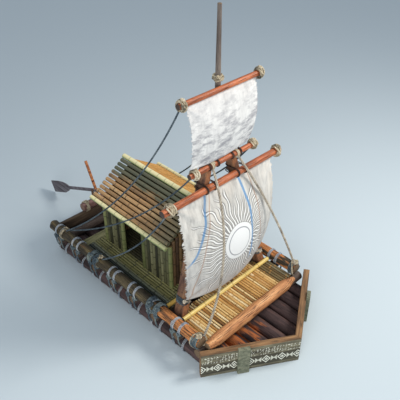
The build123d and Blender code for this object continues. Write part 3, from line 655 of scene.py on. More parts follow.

# Ridge and eaves: one new bamboo along the top and one along each eave, greener forward, with painted light
# and shade: cream on the upper side, green on the under side.
pale_pole, tree = new_finish("pale_green_bamboo", 0.4, 0.45)
# Painted light and shade: lighter where the surface faces up, greener where it faces down
up = add(tree, "SeparateXYZ", add(tree, "NewGeometry", out="Normal"), out="Z")
blotch = add(tree, "TexNoise", own_coordinates(tree, (1.5, 9.0, 9.0)), 1.0, 4.0)
lit = ("MULTIPLY_ADD", blotch, 0.6, ("MULTIPLY_ADD", up, 0.55, 0.20))
colour = add(tree, "ValToRGB", lit, stops=((0.20, "566A48"), (0.48, "93A26F"), (0.64, "D2CC8E"),
                                           (0.80, "F4E9B4")))
forward = add(tree, "SeparateXYZ", add(tree, "TexCoord", out="Object"), out="X")
colour = add(tree, "Mix RGBA", ("MapRange", forward, 0.5, 1.7, 0.0, 0.55), colour, "75845A")
mark = add(tree, "Attribute", attribute_name="joint", out="Fac")
coat(tree, add(tree, "Mix RGBA", ("MapRange", mark, 0.72, 0.92, 0.0, 0.45), colour, "6A7A50"))
runs = [(radius, [(DATUM + s, y, z) for s in (-4.820, -1.820)]) for radius, y, z in (
    (0.067, 0, RIDGE_Z - 0.001), (ROOF_R - 0.001, EAVE_Y, EAVE_Z), (ROOF_R - 0.001, -EAVE_Y, EAVE_Z))]
fit(grow("ridge_and_eave_bamboos", runs, round_timbers, pale_pole, 0.006, Sides=18, Segment=0.07,
         Joint_Every=4, Seed=3), "bamboo_pale", "ridge_and_eave_poles")

# Roof, port slope: a mat of golden reeds laid down the slope and sewn in courses, so that its face is
# fine ribs with a shallow step at each row of stitching.
REEDS = 120
COURSES = 4
MAT_LENGTH = math.hypot(EAVE_Y, RIDGE_Z - EAVE_Z) - 0.138
reed, tree = new_finish("golden_reed_matting", 0.7, 0.3)
piece = add(tree, "Attribute", attribute_name="piece", out="Fac")
stretched = add(tree, "Mapping", add(tree, "TexCoord", out="Object"), Scale=(1.0, 7.0, 7.0))
tone = ("MULTIPLY_ADD", ("TexNoise", stretched, 4.0, 5.0, 0.65), 0.62,
        ("MULTIPLY", ("TexWhiteNoise 1D", piece), 0.4))
coat(tree, add(tree, "ValToRGB", tone, stops=((0.20, "8A5A2A"), (0.42, "C08A45"), (0.62, "DDA75C"),
                                              (0.82, "EEC684"))))
low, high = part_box("roof_mat_port")
down = Vector((0, EAVE_Y, EAVE_Z - RIDGE_Z)).normalized()
mat_start = Vector((low.x, 0, RIDGE_Z)) - out * (ROOF_R - 0.0225) + down * 0.072
whole = Vector((high.x - low.x, 0, 0))
near = [mat_start + down * a + out * b for a, b in ((0, -0.021), (MAT_LENGTH, -0.021), (MAT_LENGTH, 0.009),
                                                   (0, 0.009))]
faces = [(3, 2, 1, 0), (4, 5, 6, 7)] + [(k, (k + 1) % 4, (k + 1) % 4 + 4, k + 4) for k in range(4)]
backing = in_scene("reed_mat_backing", bpy.data.meshes.new("reed_mat_backing"))
backing.data.from_pydata(near + [p + whole for p in near], [], faces)
backing.data.materials.append(reed)
fit(backing, "woven_mat", "roof_mat_port")
for number in range(COURSES):
    first = mat_start + down * (MAT_LENGTH * number / COURSES) + out * 0.013 + Vector((0.014, 0, 0))
    fit(grow("reed_course_%d" % number, [], pole_rows, reed, Count=REEDS, First=first,
             Step=((whole.x - 0.028) / (REEDS - 1), 0, 0), Run=down * (MAT_LENGTH / COURSES - 0.004),
             Radius=0.0125, Radius_Spread=0.0012, End_Spread=0.004, Sides=6, Segment=0.10, Seed=40 + number),
        "woven_mat")
runs = []
for number in range(1, COURSES):
    start = mat_start + down * (MAT_LENGTH * number / COURSES) + out * 0.018
    runs.append((0.008, [start, start + whole]))
fit(grow("reed_stitching", runs, round_timbers, reed, Sides=8, Segment=0.05, Joint_Every=2, Joint_Swell=0.25,
         Seed=5), "woven_mat")

# Mast: two squared timbers, hewn with an adze, their feet in blocks on the hull logs, leaning together and a
# little aft; purple-brown, with painted sunlight in orange-brown patches on the fore faces.
LEG_TOP_Z = 5.130
LEG_FOOT_Z = 0.640
LEG_RINGS = 30


def leg_point(z, side):
    """The middle of a leg at a height."""
    rise = z - LEG_FOOT_Z
    return Vector((DATUM - 1.085 - 0.062 * rise, side * (1.440 - 0.2837 * rise), z))


def leg_size(z):
    """A leg's depth along the raft and its width across it at a height."""
    part = (z - LEG_FOOT_Z) / (LEG_TOP_Z - LEG_FOOT_Z)
    return 0.290 - 0.050 * part, 0.225 - 0.055 * part


mast_wood, tree = new_finish("hewn_mast_timber", 0.65, 0.35)
where = add(tree, "TexCoord", out="Object")
drift = add(tree, "TexNoise", add(tree, "Mapping", where, Scale=(7.0, 7.0, 0.9)), 1.0, 5.0, 0.62)
colour = add(tree, "ValToRGB", drift, stops=((0.30, "3F2F29"), (0.44, "67493B"), (0.58, "8B674D"),
                                             (0.76, "AC8662")))
# Painted sunlight: orange-brown in patches on the faces that look forward
fore_face = ("MapRange", add(tree, "SeparateXYZ", add(tree, "NewGeometry", out="Normal"), out="X"), 0.3, 0.9)
tint_and_painted_light = ("MapRange", ("TexNoise", where, 3.0, 4.0, 0.6), 0.36, 0.52)
colour = add(tree, "Mix RGBA", ("MULTIPLY", fore_face, tint_and_painted_light), colour, "A56D49")
grain = add(tree, "TexNoise", add(tree, "Mapping", where, Scale=(70.0, 70.0, 2.5)), 1.0, 3.0)
colour = add(tree, "Mix RGBA", ("MapRange", grain, 0.34, 0.42, 1.0, 0.0), colour, "2E2120")
coat(tree, colour, grain, 0.5, 0.015)
for name, side in (("port", 1), ("starboard", -1)):
    dice = random.Random(11 + side)
    spots, faces = [], []
    for ring in range(LEG_RINGS + 1):
        z = LEG_FOOT_Z + (LEG_TOP_Z - LEG_FOOT_Z) * ring / LEG_RINGS
        deep, wide = leg_size(z)
        # How far a corner is cut back along each of its two faces
        bite = (0.016, 0.010) if ring % LEG_RINGS else (0.020, 0.020)
        for cx, cy in ((1, 1), (-1, 1), (-1, -1), (1, -1)):
            for step in ((0, 1), (1, 0)) if cx * cy > 0 else ((1, 0), (0, 1)):
                dx = deep / 2 - (bite[0] + dice.uniform(0, 0.010)) * step[0] - dice.uniform(0, 0.004)
                dy = wide / 2 - (bite[1] + dice.uniform(0, 0.008)) * step[1] - dice.uniform(0, 0.003)
                spots.append(leg_point(z, side) + Vector((cx * dx, cy * dy, 0)))
    for k in range(8 * LEG_RINGS):
        beside = k - k % 8 + (k + 1) % 8
        faces.append((k, beside, beside + 8, k + 8))
    faces += [tuple(range(7, -1, -1)), tuple(range(8 * LEG_RINGS, 8 * LEG_RINGS + 8))]
    leg = in_scene("mast_leg_%s_timber" % name, bpy.data.meshes.new("mast_leg_%s_timber" % name))
    leg.data.from_pydata(spots, [], faces)
    leg.data.materials.append(mast_wood)
    fit(leg, "mast_timber", "mast_leg_" + name)
fit(worn_copy("mast_step_blocks", "mast_steps", 0.012, stern_wood), "hewn_timber", "mast_steps")

# Topmast: one round grey-brown spar, peeled and tapered, its foot between the heads of the legs and its
# top bare.
TOPMAST_X = leg_point(LEG_TOP_Z, 1).x - 0.005
TOPMAST_Z = (4.650, 7.560, 7.760)
TOPMAST_R = (0.080, 0.045, 0.045)
spar_wood = barked_timber("grey_brown_spar", ((0.30, "4E443F"), (0.48, "6E625A"), (0.62, "867A70"),
                                              (0.78, "9A8E82")), "39302C", roughness=0.6)
runs = [(list(TOPMAST_R), [(TOPMAST_X, 0, z) for z in TOPMAST_Z])]
fit(grow("topmast_spar", runs, round_timbers, spar_wood, 0.006, Sides=20, Segment=0.08, Lump_Height=0.002,
         Lump_Size=0.12, Seed=17), "grey_spar", "topmast")


# Yards: three round poles lashed across the fore side of the mast, rubbed smooth, red-brown with darker
# ends. Each is its x, its height, its radius and the y of its two stays.
def topmast_radius(z):
    """The topmast's radius at a height."""
    return TOPMAST_R[0] - (TOPMAST_R[0] - TOPMAST_R[1]) * (z - TOPMAST_Z[0]) / (TOPMAST_Z[1] - TOPMAST_Z[0])


MAIN_Z, LOW_Z, TOP_Z = 3.970, 4.470, 6.100
MAIN_R, LOW_R, TOP_R = 0.085, 0.065, 0.065
MAIN_X = leg_point(MAIN_Z, 1).x + leg_size(MAIN_Z)[0] / 2 + MAIN_R + 0.001
LOW_X = leg_point(LOW_Z, 1).x + leg_size(LOW_Z)[0] / 2 + LOW_R + 0.001
TOP_X = TOPMAST_X + topmast_radius(TOP_Z) + TOP_R
MAIN_YARD = (MAIN_X, MAIN_Z, MAIN_R, (-1.650, 1.765))
LOW_YARD = (LOW_X, LOW_Z, LOW_R, (-0.890, 0.940))
TOP_YARD = (TOP_X, TOP_Z, TOP_R, (-1.125, 1.125))
yard_wood = barked_timber("rubbed_red_brown_pole", ((0.28, "70371F"), (0.42, "9E5430"), (0.56, "C26D42"),
                                                    (0.74, "DE8F60")), "43200F", "7E3B22", 0.60,
                          ("54433A", "3B2E28"), 0.42, split_at=0.42)
for node, (x, z, radius, _), half in (("main_yard", MAIN_YARD, 1.875),
                                      ("topsail_yard_lower", LOW_YARD, 1.050),
                                      ("topsail_yard_upper", TOP_YARD, 1.220)):
    fit(grow(node + "_pole", [(radius, [(x, -half, z), (x, half, z)])], round_timbers, yard_wood, 0.010,
             Sides=20, Segment=0.07, Lump_Height=0.003, Lump_Size=0.1, Seed=19), "red_pole", node)


# Sails: off-white canvas of sewn upright cloths, laced under the yards, filled by the wind from aft. The
# mainsail's middle is blown forward and its corners are tied back; both leeches are frayed.
def canvas(name):
    """Plain-woven cotton canvas: its tree, its place on the flat cut in metres, and its weather stain."""
    made, tree = new_finish(name, 0.85, 0.2)
    tree.nodes["Principled BSDF"].inputs["Sheen Weight"].default_value = 0.15
    cut = add(tree, "UVMap", uv_map="cut")
    u, v, _ = add(tree, "SeparateXYZ", cut, out=slice(3))
    weather = add(tree, "TexNoise", add(tree, "Mapping", cut, Scale=(3.4, 0.9, 1.0)), 1.8, 8.0, 0.66)
    return made, tree, cut, u, v, weather


def weave(u, v):
    """The weave's relief: threads 1.2 mm apart, drawn 6 mm apart so that they show close up."""
    warp, weft = ("SINE", ("MULTIPLY", u, 1050.0)), ("SINE", ("MULTIPLY", v, 1050.0))
    return ("MULTIPLY", ("MULTIPLY", warp, weft), 0.06)


WEAVE_DEPTH = 0.02
# The main canvas: its cut is 3.1 m wide and 2.8 m deep, and places are metres from its starboard head
CUT_U, CUT_V = 3.1, 2.8
main_canvas, tree, cut, u, v, weather = canvas("sun_painted_canvas")
base = add(tree, "ValToRGB", weather, stops=((0.30, "A6A39E"), (0.42, "C0BDB7"), (0.54, "D5D2CB"),
                                             (0.72, "E6E2DA")))
warm = ("MapRange", ("TexNoise", cut, 1.1, 3.0), 0.5, 0.68, 0.0, 0.30)
base = add(tree, "Mix RGBA", warm, base, "DFD0BC")
# Greyer towards the foot: painted shade
base = add(tree, "Mix RGBA", ("MapRange", v, 1.2, 2.7, 0.0, 0.5), base, "A9A9AA")
bare_cloth = base
# A painted sun: a disc, with rays that waver as they run out and end at uneven lengths
SUN_U, SUN_V = 1.620, 1.430
RAYS = 44
RAY_STEP = 2 * math.pi / RAYS
du = add(tree, "SUBTRACT", u, SUN_U)
dv = add(tree, "MULTIPLY", ("SUBTRACT", v, SUN_V), 1.06)
far = add(tree, "SQRT", ("ADD", ("MULTIPLY", du, du), ("MULTIPLY", dv, dv)))
turn = add(tree, "ARCTAN2", dv, du)
wander = ("SUBTRACT", ("TexNoise", cut, 1.6, 1.0), 0.5)
bend = ("MULTIPLY", wander, ("MULTIPLY", ("MapRange", far, 0.5, 1.3), 0.42))
phase = ("MULTIPLY_ADD", turn, 5.0, ("MULTIPLY", far, 13.0))
wave = ("MULTIPLY", ("SINE", phase), ("DIVIDE", 0.022, far))
cell = add(tree, "MULTIPLY", ("ADD", ("ADD", turn, bend), wave), 1 / RAY_STEP)
number = add(tree, "FLOOR", cell)
off_line = ("ABSOLUTE", ("SUBTRACT", ("SUBTRACT", cell, number), 0.5))
aside = add(tree, "MULTIPLY", ("MULTIPLY", off_line, RAY_STEP), far)
# Rays run longer to starboard
uneven = ("MULTIPLY_ADD", ("TexWhiteNoise 1D", number), 0.44, 0.94)
ends = ("ADD", uneven, ("MULTIPLY", ("MapRange", du, 0.0, -0.6), 0.34))
left = add(tree, "SUBTRACT", ends, far)
inside = add(tree, "MapRange", left, 0.0, 0.10)
begun = add(tree, "MapRange", far, 0.485, 0.505)
half_ray = add(tree, "MULTIPLY", ("MapRange", left, 0.0, 0.45, 0.62, 1.0), 0.0195)
stroke = ("MapRange", ("SUBTRACT", aside, half_ray), 0.004, -0.004)
ray = add(tree, "MULTIPLY", ("MULTIPLY", stroke, inside), begun)
# Beside each ray a grey line of painted shadow
shadow = ("MapRange", ("SUBTRACT", aside, ("ADD", half_ray, 0.016)), 0.012, -0.004)
groove_shade = add(tree, "MULTIPLY", ("MULTIPLY", shadow, inside), begun)
rim = ("MULTIPLY", ("MapRange", far, 0.515, 0.500), ("MapRange", far, 0.480, 0.490))
ring = ("MULTIPLY", ("MapRange", far, 0.352, 0.362), ("MapRange", far, 0.390, 0.380))
for amount, colour in ((("MULTIPLY", groove_shade, 0.85), "6F6B68"), (ray, "F4F3EF"),
                       (("MULTIPLY", rim, 0.6), "8C8A88"), (("MapRange", far, 0.490, 0.480), "F2F2F0"),
                       (("MULTIPLY", ring, 0.9), "8F9096")):
    base = add(tree, "Mix RGBA", amount, base, colour)
# Two soft-edged blue stripes about 65 mm wide, each a slow curve through places in metres down and across
for places in (((0.0, 0.84), (0.35, 0.73), (0.75, 0.62), (1.10, 0.47), (1.50, 0.22), (1.72, -0.03)),
               ((0.0, 1.90), (0.35, 1.97), (0.75, 2.06), (1.10, 2.08), (1.40, 2.11), (2.30, 2.16))):
    path = add(tree, "FloatCurve", Value=("DIVIDE", v, CUT_V), out=None)
    curve = path.mapping.curves[0]
    for _ in places[2:]:
        curve.points.new(0.5, 0.5)
    for point, (down, across) in zip(curve.points, places):
        point.location = (down / CUT_V, across / CUT_U + 0.05)
    path.mapping.update()
    centre = ("MULTIPLY", ("SUBTRACT", path.outputs[0], 0.05), CUT_U)
    line = ("MapRange", ("ABSOLUTE", ("SUBTRACT", u, centre)), 0.040, 0.026)
    foot = places[-1][0]
    fade = ("MapRange", v, foot - 0.25, foot + 0.02, 0.85, 0.0)
    smear = ("MapRange", weather, 0.34, 0.56, 0.55, 1.0)
    base = add(tree, "Mix RGBA", ("MULTIPLY", ("MULTIPLY", line, fade), smear), base, "5590C2")
# The paint shows faintly through on the after side
facing = add(tree, "SeparateXYZ", add(tree, "NewGeometry", out="Normal"), out="X")
base = add(tree, "Mix RGBA", ("MapRange", facing, 0.05, -0.05, 0.0, 0.72), base, bare_cloth)
# Seams between cloths: thin brown stitched lines
for start, lean in ((0.97, -0.30), (2.20, 0.20)):
    off = ("ABSOLUTE", ("SUBTRACT", u, ("MULTIPLY_ADD", v, lean, start)))
    base = add(tree, "Mix RGBA", ("MULTIPLY", ("MapRange", off, 0.024, 0.010), 0.60), base, "A67D60")
# Dark marks along the frayed starboard leech: painted shadow of the fringe
fringe_shadow_noise = ("TexNoise", add(tree, "Mapping", cut, Scale=(2.0, 16.0, 1.0)), 1.0, 3.0, 0.7)
fringe_shadow = ("MULTIPLY", ("MapRange", fringe_shadow_noise, 0.52, 0.56), ("MapRange", u, 0.090, 0.045))
base = add(tree, "Mix RGBA", ("MULTIPLY", fringe_shadow, ("MapRange", v, 0.5, 0.9)), base, "3A2F2A")
paint = ("SUBTRACT", ("MULTIPLY", ray, 0.6), ("MULTIPLY", groove_shade, 0.5))
coat(tree, base, ("ADD", weave(u, v), paint), 0.7, WEAVE_DEPTH)

# The topsail's canvas: streaked grey where smoke and rain have marked it.
top_canvas, tree, cut, u, v, weather = canvas("weather_streaked_canvas")
base = add(tree, "ValToRGB", weather, stops=((0.30, "BBBAB8"), (0.44, "D4D3D1"), (0.60, "E1E0DD")))
leaning = add(tree, "Mapping", cut, Rotation=(0, 0, 0.22), Scale=(1.0, 2.6, 1.0))
marks = ("MapRange", ("TexNoise", leaning, 2.0, 8.0, 0.72), 0.46, 0.60, 0.0, 0.90)
marks = ("MULTIPLY", marks, ("MapRange", v, 0.10, 0.8, 0.35, 1.0))
coat(tree, add(tree, "Mix RGBA", marks, base, "8A8A90"), weave(u, v), 0.25, WEAVE_DEPTH)


def sail_cloth(name, finish, head, foot, head_y, foot_y, belly, foot_out, foot_drop, creases, fringe, seed):
    """A filled sail as a fine grid: a rounded belly, creases from the corners, torn edges, its cut as UV.

    head and foot are x and z, head_y and foot_y the corners' y. belly, foot_out and foot_drop are metres at
    the starboard edge, the middle and the port edge. A crease is its corner, its angle and its depth.
    """
    dice = random.Random(seed)
    across, down = 150, 130
    width = ((head_y[1] - head_y[0]) + (foot_y[1] - foot_y[0])) / 2
    tears = [[dice.random() for _ in range(down + 1)] for _ in range(2)]

    def through(values, s):
        """The quadratic through values at the starboard edge, the middle and the port edge."""
        return values[0] * (1 - s) * (1 - 2 * s) + values[1] * 4 * s * (1 - s) + values[2] * s * (2 * s - 1)

    def point(s, t):
        """A place on the sail: s across from starboard and t down from the head."""
        x = head[0] * (1 - t) + (foot[0] + through(foot_out, s)) * t
        x += through(belly, s) * 4 * t * (1 - t)
        z = head[1] * (1 - t) + (foot[1] - through(foot_drop, s)) * t
        y = (head_y[0] + (head_y[1] - head_y[0]) * s) * (1 - t)
        y += (foot_y[0] + (foot_y[1] - foot_y[0]) * s) * t
        for crease_s, crease_t, angle, depth in creases:
            ds, dt = (s - crease_s) * 1.1, t - crease_t
            reach = math.hypot(ds, dt)
            off = math.atan2(dt, ds) - angle
            fading = math.exp(-(reach * 3.0)) * min(1.0, reach * 6.0) * math.exp(-(off / 0.7) ** 2)
            x += depth * math.cos(off * 9.0) * fading
        x += 0.006 * math.sin(s * 31 + t * 5) * t * (1 - t) * 2
        return Vector((x, y, z))

    shape = bmesh.new()
    uv = shape.loops.layers.uv.new("cut")
    grid, flat = [], {}
    for j in range(down + 1):
        t = j / down
        row = []
        for i in range(across + 1):
            s = i / across
            # The last two columns at each leech are drawn in by the row's tear
            if i < 3 and 2 < j < down:
                s += fringe * tears[0][j] * (3 - i) / 3 / width
            elif i > across - 3 and 2 < j < down:
                s -= fringe * tears[1][j] * (i - across + 3) / 3 / width
            vert = shape.verts.new(point(s, t))
            flat[vert] = ((head_y[1] - head_y[0]) * s, (head[1] - foot[1]) * 1.06 * t)
            row.append(vert)
        grid.append(row)
    for j in range(down):
        for i in range(across):
            face = shape.faces.new((grid[j][i], grid[j + 1][i], grid[j + 1][i + 1], grid[j][i + 1]))
            face.smooth = True
            for loop in face.loops:
                loop[uv].uv = flat[loop.vert]
    area = sum(face.calc_area() for face in shape.faces)
    cloth = bpy.data.meshes.new(name)
    shape.to_mesh(cloth)
    shape.free()
    cloth.materials.append(finish)
    piece = in_scene(name, cloth)
    thick = piece.modifiers.new("thickness", "SOLIDIFY")
    thick.thickness = 0.004
    thick.offset = 0.0
    graph = bpy.context.evaluated_depsgraph_get()
    solid = bpy.data.meshes.new_from_object(piece.evaluated_get(graph), depsgraph=graph)
    piece.modifiers.clear()
    piece.data = solid
    solid.name = name
    return piece, area


mainsail, main_area = sail_cloth(
    "mainsail_canvas", main_canvas, (MAIN_X - 0.005, MAIN_Z - MAIN_R - 0.003), (DATUM - 0.925, 1.300),
    (-1.500, 1.600), (-1.450, 1.120), (0.100, 0.330, 0.260), (0.0, 0.225, 0.0), (0.0, 0.090, 0.0),
    ((0.0, 0.0, 0.75, 0.045), (1.0, 0.0, 2.35, 0.030), (0.0, 1.0, -0.7, 0.035), (1.0, 1.0, -2.4, 0.025)),
    0.075, 5)
topsail, top_area = sail_cloth(
    "topsail_canvas", top_canvas, (TOP_X - 0.005, TOP_Z - TOP_R - 0.003), (LOW_X + 0.005, 4.650),
    (-1.050, 1.050), (-1.050, 0.780), (0.110, 0.200, 0.150), (0.0, 0.0, 0.0), (0.0, 0.095, 0.0),
    ((0.0, 0.0, 0.8, 0.020), (1.0, 0.0, 2.3, 0.020), (0.0, 1.0, -0.8, 0.025), (1.0, 1.0, -2.3, 0.015)),
    0.065, 8)
for sail, area, node, yard, flat in ((mainsail, main_area, "mainsail", "main_yard_pole", (3.10, 2.80)),
                                     (topsail, top_area, "topsail", "topsail_yard_upper_pole", (2.10, 1.50))):
    fit(sail, "canvas", node)

# Rope: three strands of plant fibre laid up together, 25 to 64 mm thick. One node tree twists a profile
# of round strands along any line, and every lashing, knot and stay of the raft is made by it.
laid_rope, given = new_tree("laid_rope", Sides=12, Segment=0.03, Strands=3.0, Twists_per_Metre=6.0,
                            Strand_Depth=0.14)
tree = laid_rope
spaced = add(tree, "ResampleCurve LENGTH", ("MeshToCurve", given["Lines"]), Length=given["Segment"])
length = add(tree, "SplineParameter", out="Length")
tilt = ("MULTIPLY", ("MULTIPLY", length, given["Twists per Metre"]), 2 * math.pi)
turned = add(tree, "SetCurveTilt", spaced, Tilt=tilt)
ring = add(tree, "CurvePrimitiveCircle RADIUS", Resolution=given["Sides"], Radius=1.0)
spot = add(tree, "InputPosition")
x, y, _ = add(tree, "SeparateXYZ", spot, out=slice(3))
lobe = add(tree, "COSINE", ("MULTIPLY", ("ARCTAN2", y, x), given["Strands"]))
size = ("SUBTRACT", 1.0, ("MULTIPLY", ("MULTIPLY_ADD", lobe, -0.5, 0.5), given["Strand Depth"]))
ring = add(tree, "StoreNamedAttribute FLOAT", ring, True, "strand", lobe)
ring = add(tree, "SetPosition", ring, Position=("VectorMath SCALE", spot, size))
solid = add(tree, "CurveToMesh", turned, Profile_Curve=ring, Scale=("InputNamedAttribute FLOAT", "thick"),
            Fill_Caps=True)
add(tree, "GroupOutput", ("SetMaterial", ("RealizeInstances", solid), True, given["Finish"]))


def rope_fibre(name, stops, groove_shade):
    """Hand-laid plant-fibre rope: tone drifts along it, painted shade between the strands, hairy and dull."""
    made, tree = new_finish(name, 0.85, 0.25)
    where = add(tree, "TexCoord", out="Object")
    colour = add(tree, "ValToRGB", ("TexNoise", where, 5.0, 5.0, 0.7), stops=stops)
    strand = add(tree, "Attribute", attribute_name="strand", out="Fac")
    # The hollows between the strands: painted shade
    colour = add(tree, "Mix RGBA", ("MapRange", strand, -0.3, -0.9, 0.0, 0.85), colour, groove_shade)
    coat(tree, colour, ("TexNoise", where, 160.0, 2.0), 0.4, 0.004)
    return made


pale_rope = rope_fibre("bleached_fibre_rope", ((0.30, "7F90A4"), (0.42, "B4C3D2"), (0.55, "E0E6EC"),
                                               (0.72, "F6F3EC")), "34425A")
grey_rope = rope_fibre("grey_weathered_rope", ((0.32, "333E45"), (0.46, "56646D"), (0.58, "83908F"),
                                               (0.74, "B4B09C")), "20282D")
knot_rope = rope_fibre("weathered_lashing_rope", ((0.32, "37424B"), (0.42, "857D6C"), (0.52, "CABB9E"),
                                                  (0.70, "EFE4CB")), "2A2A2C")
dark_rope = rope_fibre("dark_tarred_rope", ((0.34, "3A454D"), (0.50, "56626A"), (0.70, "808A8D")), "262D33")
tan_rope = rope_fibre("tan_fibre_rope", ((0.34, "857C70"), (0.50, "B8AC99"), (0.70, "E4DAC6")), "202B3A")
brown_rope = rope_fibre("dark_brown_rope", ((0.34, "2E2220"), (0.50, "4A3832"), (0.70, "6B5248")), "1D1615")


def frame_of(axis):
    """An axis made one long, and two directions square to it."""
    axis = Vector(axis).normalized()
    first = axis.orthogonal().normalized()
    return axis, first, axis.cross(first)


def coil(centre, axis, radius, rope, turns, start=0.0, wobble=0.0):
    """A run of rope wound round an axis, its turns touching; rope is the rope's own radius."""
    axis, first, second = frame_of(axis)
    steps = int(18 * turns)
    points = []
    for k in range(steps + 1):
        angle = start + 2 * math.pi * turns * k / steps
        off = (k / steps - 0.5) * 2 * rope * turns * 1.02 + wobble * math.sin(angle * 0.9 + start)
        reach = radius + rope * 0.90 + wobble * math.sin(angle * 1.7 + start * 3)
        outward = first * math.cos(angle) + second * math.sin(angle)
        points.append(Vector(centre) + axis * off + outward * reach)
    return rope, points


def knot(centre, axis, rope, size, start):
    """A run of rope tangled in a small knot: twice round, in and out and over itself three times."""
    axis, first, second = frame_of(axis)
    points = []
    for k in range(61):
        a = 2 * math.pi * k / 60 + start
        reach = size * (1.0 + 0.45 * math.cos(3 * a)) * 0.72
        lift = size * 0.55 * math.sin(3 * a)
        outward = first * math.cos(2 * a) + second * math.sin(2 * a)
        points.append(Vector(centre) + outward * reach + axis * lift)
    return rope, points


# Lashings on the gunwales: two bands of three turns at each crossbeam but the foremost hold the log
# down, a knotted bundle hangs outside from the beam's end to the outer hull log, and bands of the same
# rope go round that log.
BAND_ROPE = 0.0125
BAND_REACH = HULL_R + 0.011
OUTER_LOG_Y = 4 * HULL_PITCH
HEAVY_LASHINGS = (2, 5)
bands, bundles, arcs = [], [], []
dice = random.Random(3)
for number, station in enumerate(CROSS_STATIONS[:-1]):
    for side in (1, -1):
        for dx in (-0.115, 0.115):
            bands.append(coil((DATUM + station + dx, side * GUNWALE_Y, GUNWALE_Z),
                              (1, 0, 0.03 * dice.uniform(-1, 1)), GUNWALE_R - 0.008, BAND_ROPE, 3.2,
                              dice.uniform(0, 6)))
        for dx, size in ((-0.115, 0.070), (0.120, 0.058)):
            x = DATUM + station + dx + dice.uniform(-0.02, 0.02)
            z = 0.690 + dice.uniform(-0.04, 0.02)
            outside = side * (GUNWALE_Y + 0.130)
            bundles.append(knot((x, outside, z), (0.3, side, 0.1), 0.026, size, dice.uniform(0, 6)))
            if number in HEAVY_LASHINGS:
                bundles.append(coil((x, side * GUNWALE_Y, GUNWALE_Z), (1, 0.1 * side, 0.12), GUNWALE_R,
                                    0.024, 3.1, dice.uniform(0, 6), 0.007))
                bundles.append(knot((x + 0.03, outside, GUNWALE_Z + 0.12), (0.2, side, 1.0), 0.026, size,
                                    dice.uniform(0, 6)))
            fall = [Vector((x + 0.03 * (s - 0.5), side * (1.890 - 0.03 * s + 0.03 * math.sin(3.1 * s)),
                            z - 0.02 - (z - 0.330) * s)) for s in (t / 8 for t in range(9))]
            bundles.append((0.022, fall))
        for dx in (-0.181, -0.155, -0.129, 0.129, 0.155, 0.181):
            angles = [math.radians(84 - 132 * k / 14) for k in range(15)]
            arcs.append((BAND_ROPE, [(DATUM + station + dx, side * (OUTER_LOG_Y + BAND_REACH * math.cos(a)),
                                      HULL_R + BAND_REACH * math.sin(a)) for a in angles]))
fit(grow("gunwale_rope_bands", bands, laid_rope, pale_rope, Sides=8, Segment=0.035, Twists_per_Metre=12.0),
    "rope", "gunwale_lashings")
fit(grow("gunwale_knots", bundles, laid_rope, grey_rope, Sides=10, Segment=0.02, Twists_per_Metre=9.0),
    "rope")
fit(grow("hull_rope_bands", arcs, laid_rope, pale_rope, Sides=8, Segment=0.035, Twists_per_Metre=12.0),
    "rope", "hull_lashings")

# Lashings at the yard ends: turns of thick rope with two riding turns slanted over them and a knot on
# top; a collar of the same rope holds the upper yard's tie on the topmast.
wraps = []
dice = random.Random(8)
for x, z, r, ends in (MAIN_YARD, LOW_YARD, TOP_YARD):
    thick = 0.024 if r == MAIN_R else 0.022
    riding = thick * 0.9
    for y in ends:
        wraps.append(coil((x, y, z), (0, 1, 0), r, thick, 2.9, dice.uniform(0, 6), 0.004))
        for lean in (0.60, -0.30):
            wraps.append(coil((x, y, z), (lean * 0.6, 1, lean), r + 0.036, riding, 1.02, dice.uniform(0, 6),
                              0.006))
        wraps.append(knot((x + 0.02, y, z + r + 0.055), (0.5, 0, 1), riding, 0.036, dice.uniform(0, 6)))
COLLAR_Z = TOP_Z + 0.190
for lean, extra, turns, start in ((0.0, 0.0, 3.4, 0.0), (0.25, 0.030, 1.2, 2.0), (-0.22, 0.034, 1.2, 4.0)):
    wraps.append(coil((TOPMAST_X, 0, COLLAR_Z), (lean, lean * 0.6, 1), topmast_radius(COLLAR_Z) + extra,
                      0.020, turns, start, 0.003))
wraps.append(knot((TOPMAST_X + 0.06, -0.08, COLLAR_Z + 0.01), (1, -1, 0.2), 0.020, 0.055, 1.0))
fit(grow("yard_and_topmast_lashings", wraps, laid_rope, knot_rope, Sides=12, Segment=0.02,
         Twists_per_Metre=8.0), "rope", "yard_lashings", "topmast_lashing")

# Lashings where the yards cross the legs: dark crossed turns round leg and yard together, over the
# yard's fore side and slanting behind the leg.
CROSS_ROPE = 0.0125
crossed = []
for x, z, r, _ in (MAIN_YARD, LOW_YARD):
    deep, wide = leg_size(z)
    back = x - r - deep - 0.016
    reach = r + CROSS_ROPE + 0.002
    for side in (1, -1):
        y = leg_point(z, side).y
        for turn in range(2):
            gap = wide / 2 + 0.024 + 0.027 * turn
            height = r * 0.72 + 0.027 * turn
            points = []
            for edge in (-1, 1):
                # One edge is climbed and the other goes back down
                out_y, in_y, rise = y + edge * gap, y + edge * (gap - 0.03), -edge
                points += [(back, in_y, z - rise * height), (back + 0.05, out_y, z - rise * (height - 0.01))]
                angles = [math.radians(-100 + 200 * k / 12) * rise for k in range(13)]
                points += [(x + reach * math.cos(a), out_y, z + reach * math.sin(a)) for a in angles]
                points += [(back + 0.05, out_y, z + rise * (height - 0.01)), (back, in_y, z + rise * height)]
            crossed.append((CROSS_ROPE, points + points[:1]))
fit(grow("leg_and_yard_lashings", crossed, laid_rope, brown_rope, Sides=8, Segment=0.025,
         Twists_per_Metre=12.0), "rope")

# Stays: thick laid ropes from the yards down to the gunwales, hanging in slack curves aft and leaning
# forward to the bow; each is made off round the gunwale with a few turns and a knot.
FOOT_Z = GUNWALE_Z + 0.090
BOW_MAKE_OFF_X = DATUM - 0.150
BOW_STAY_Y = 0.380


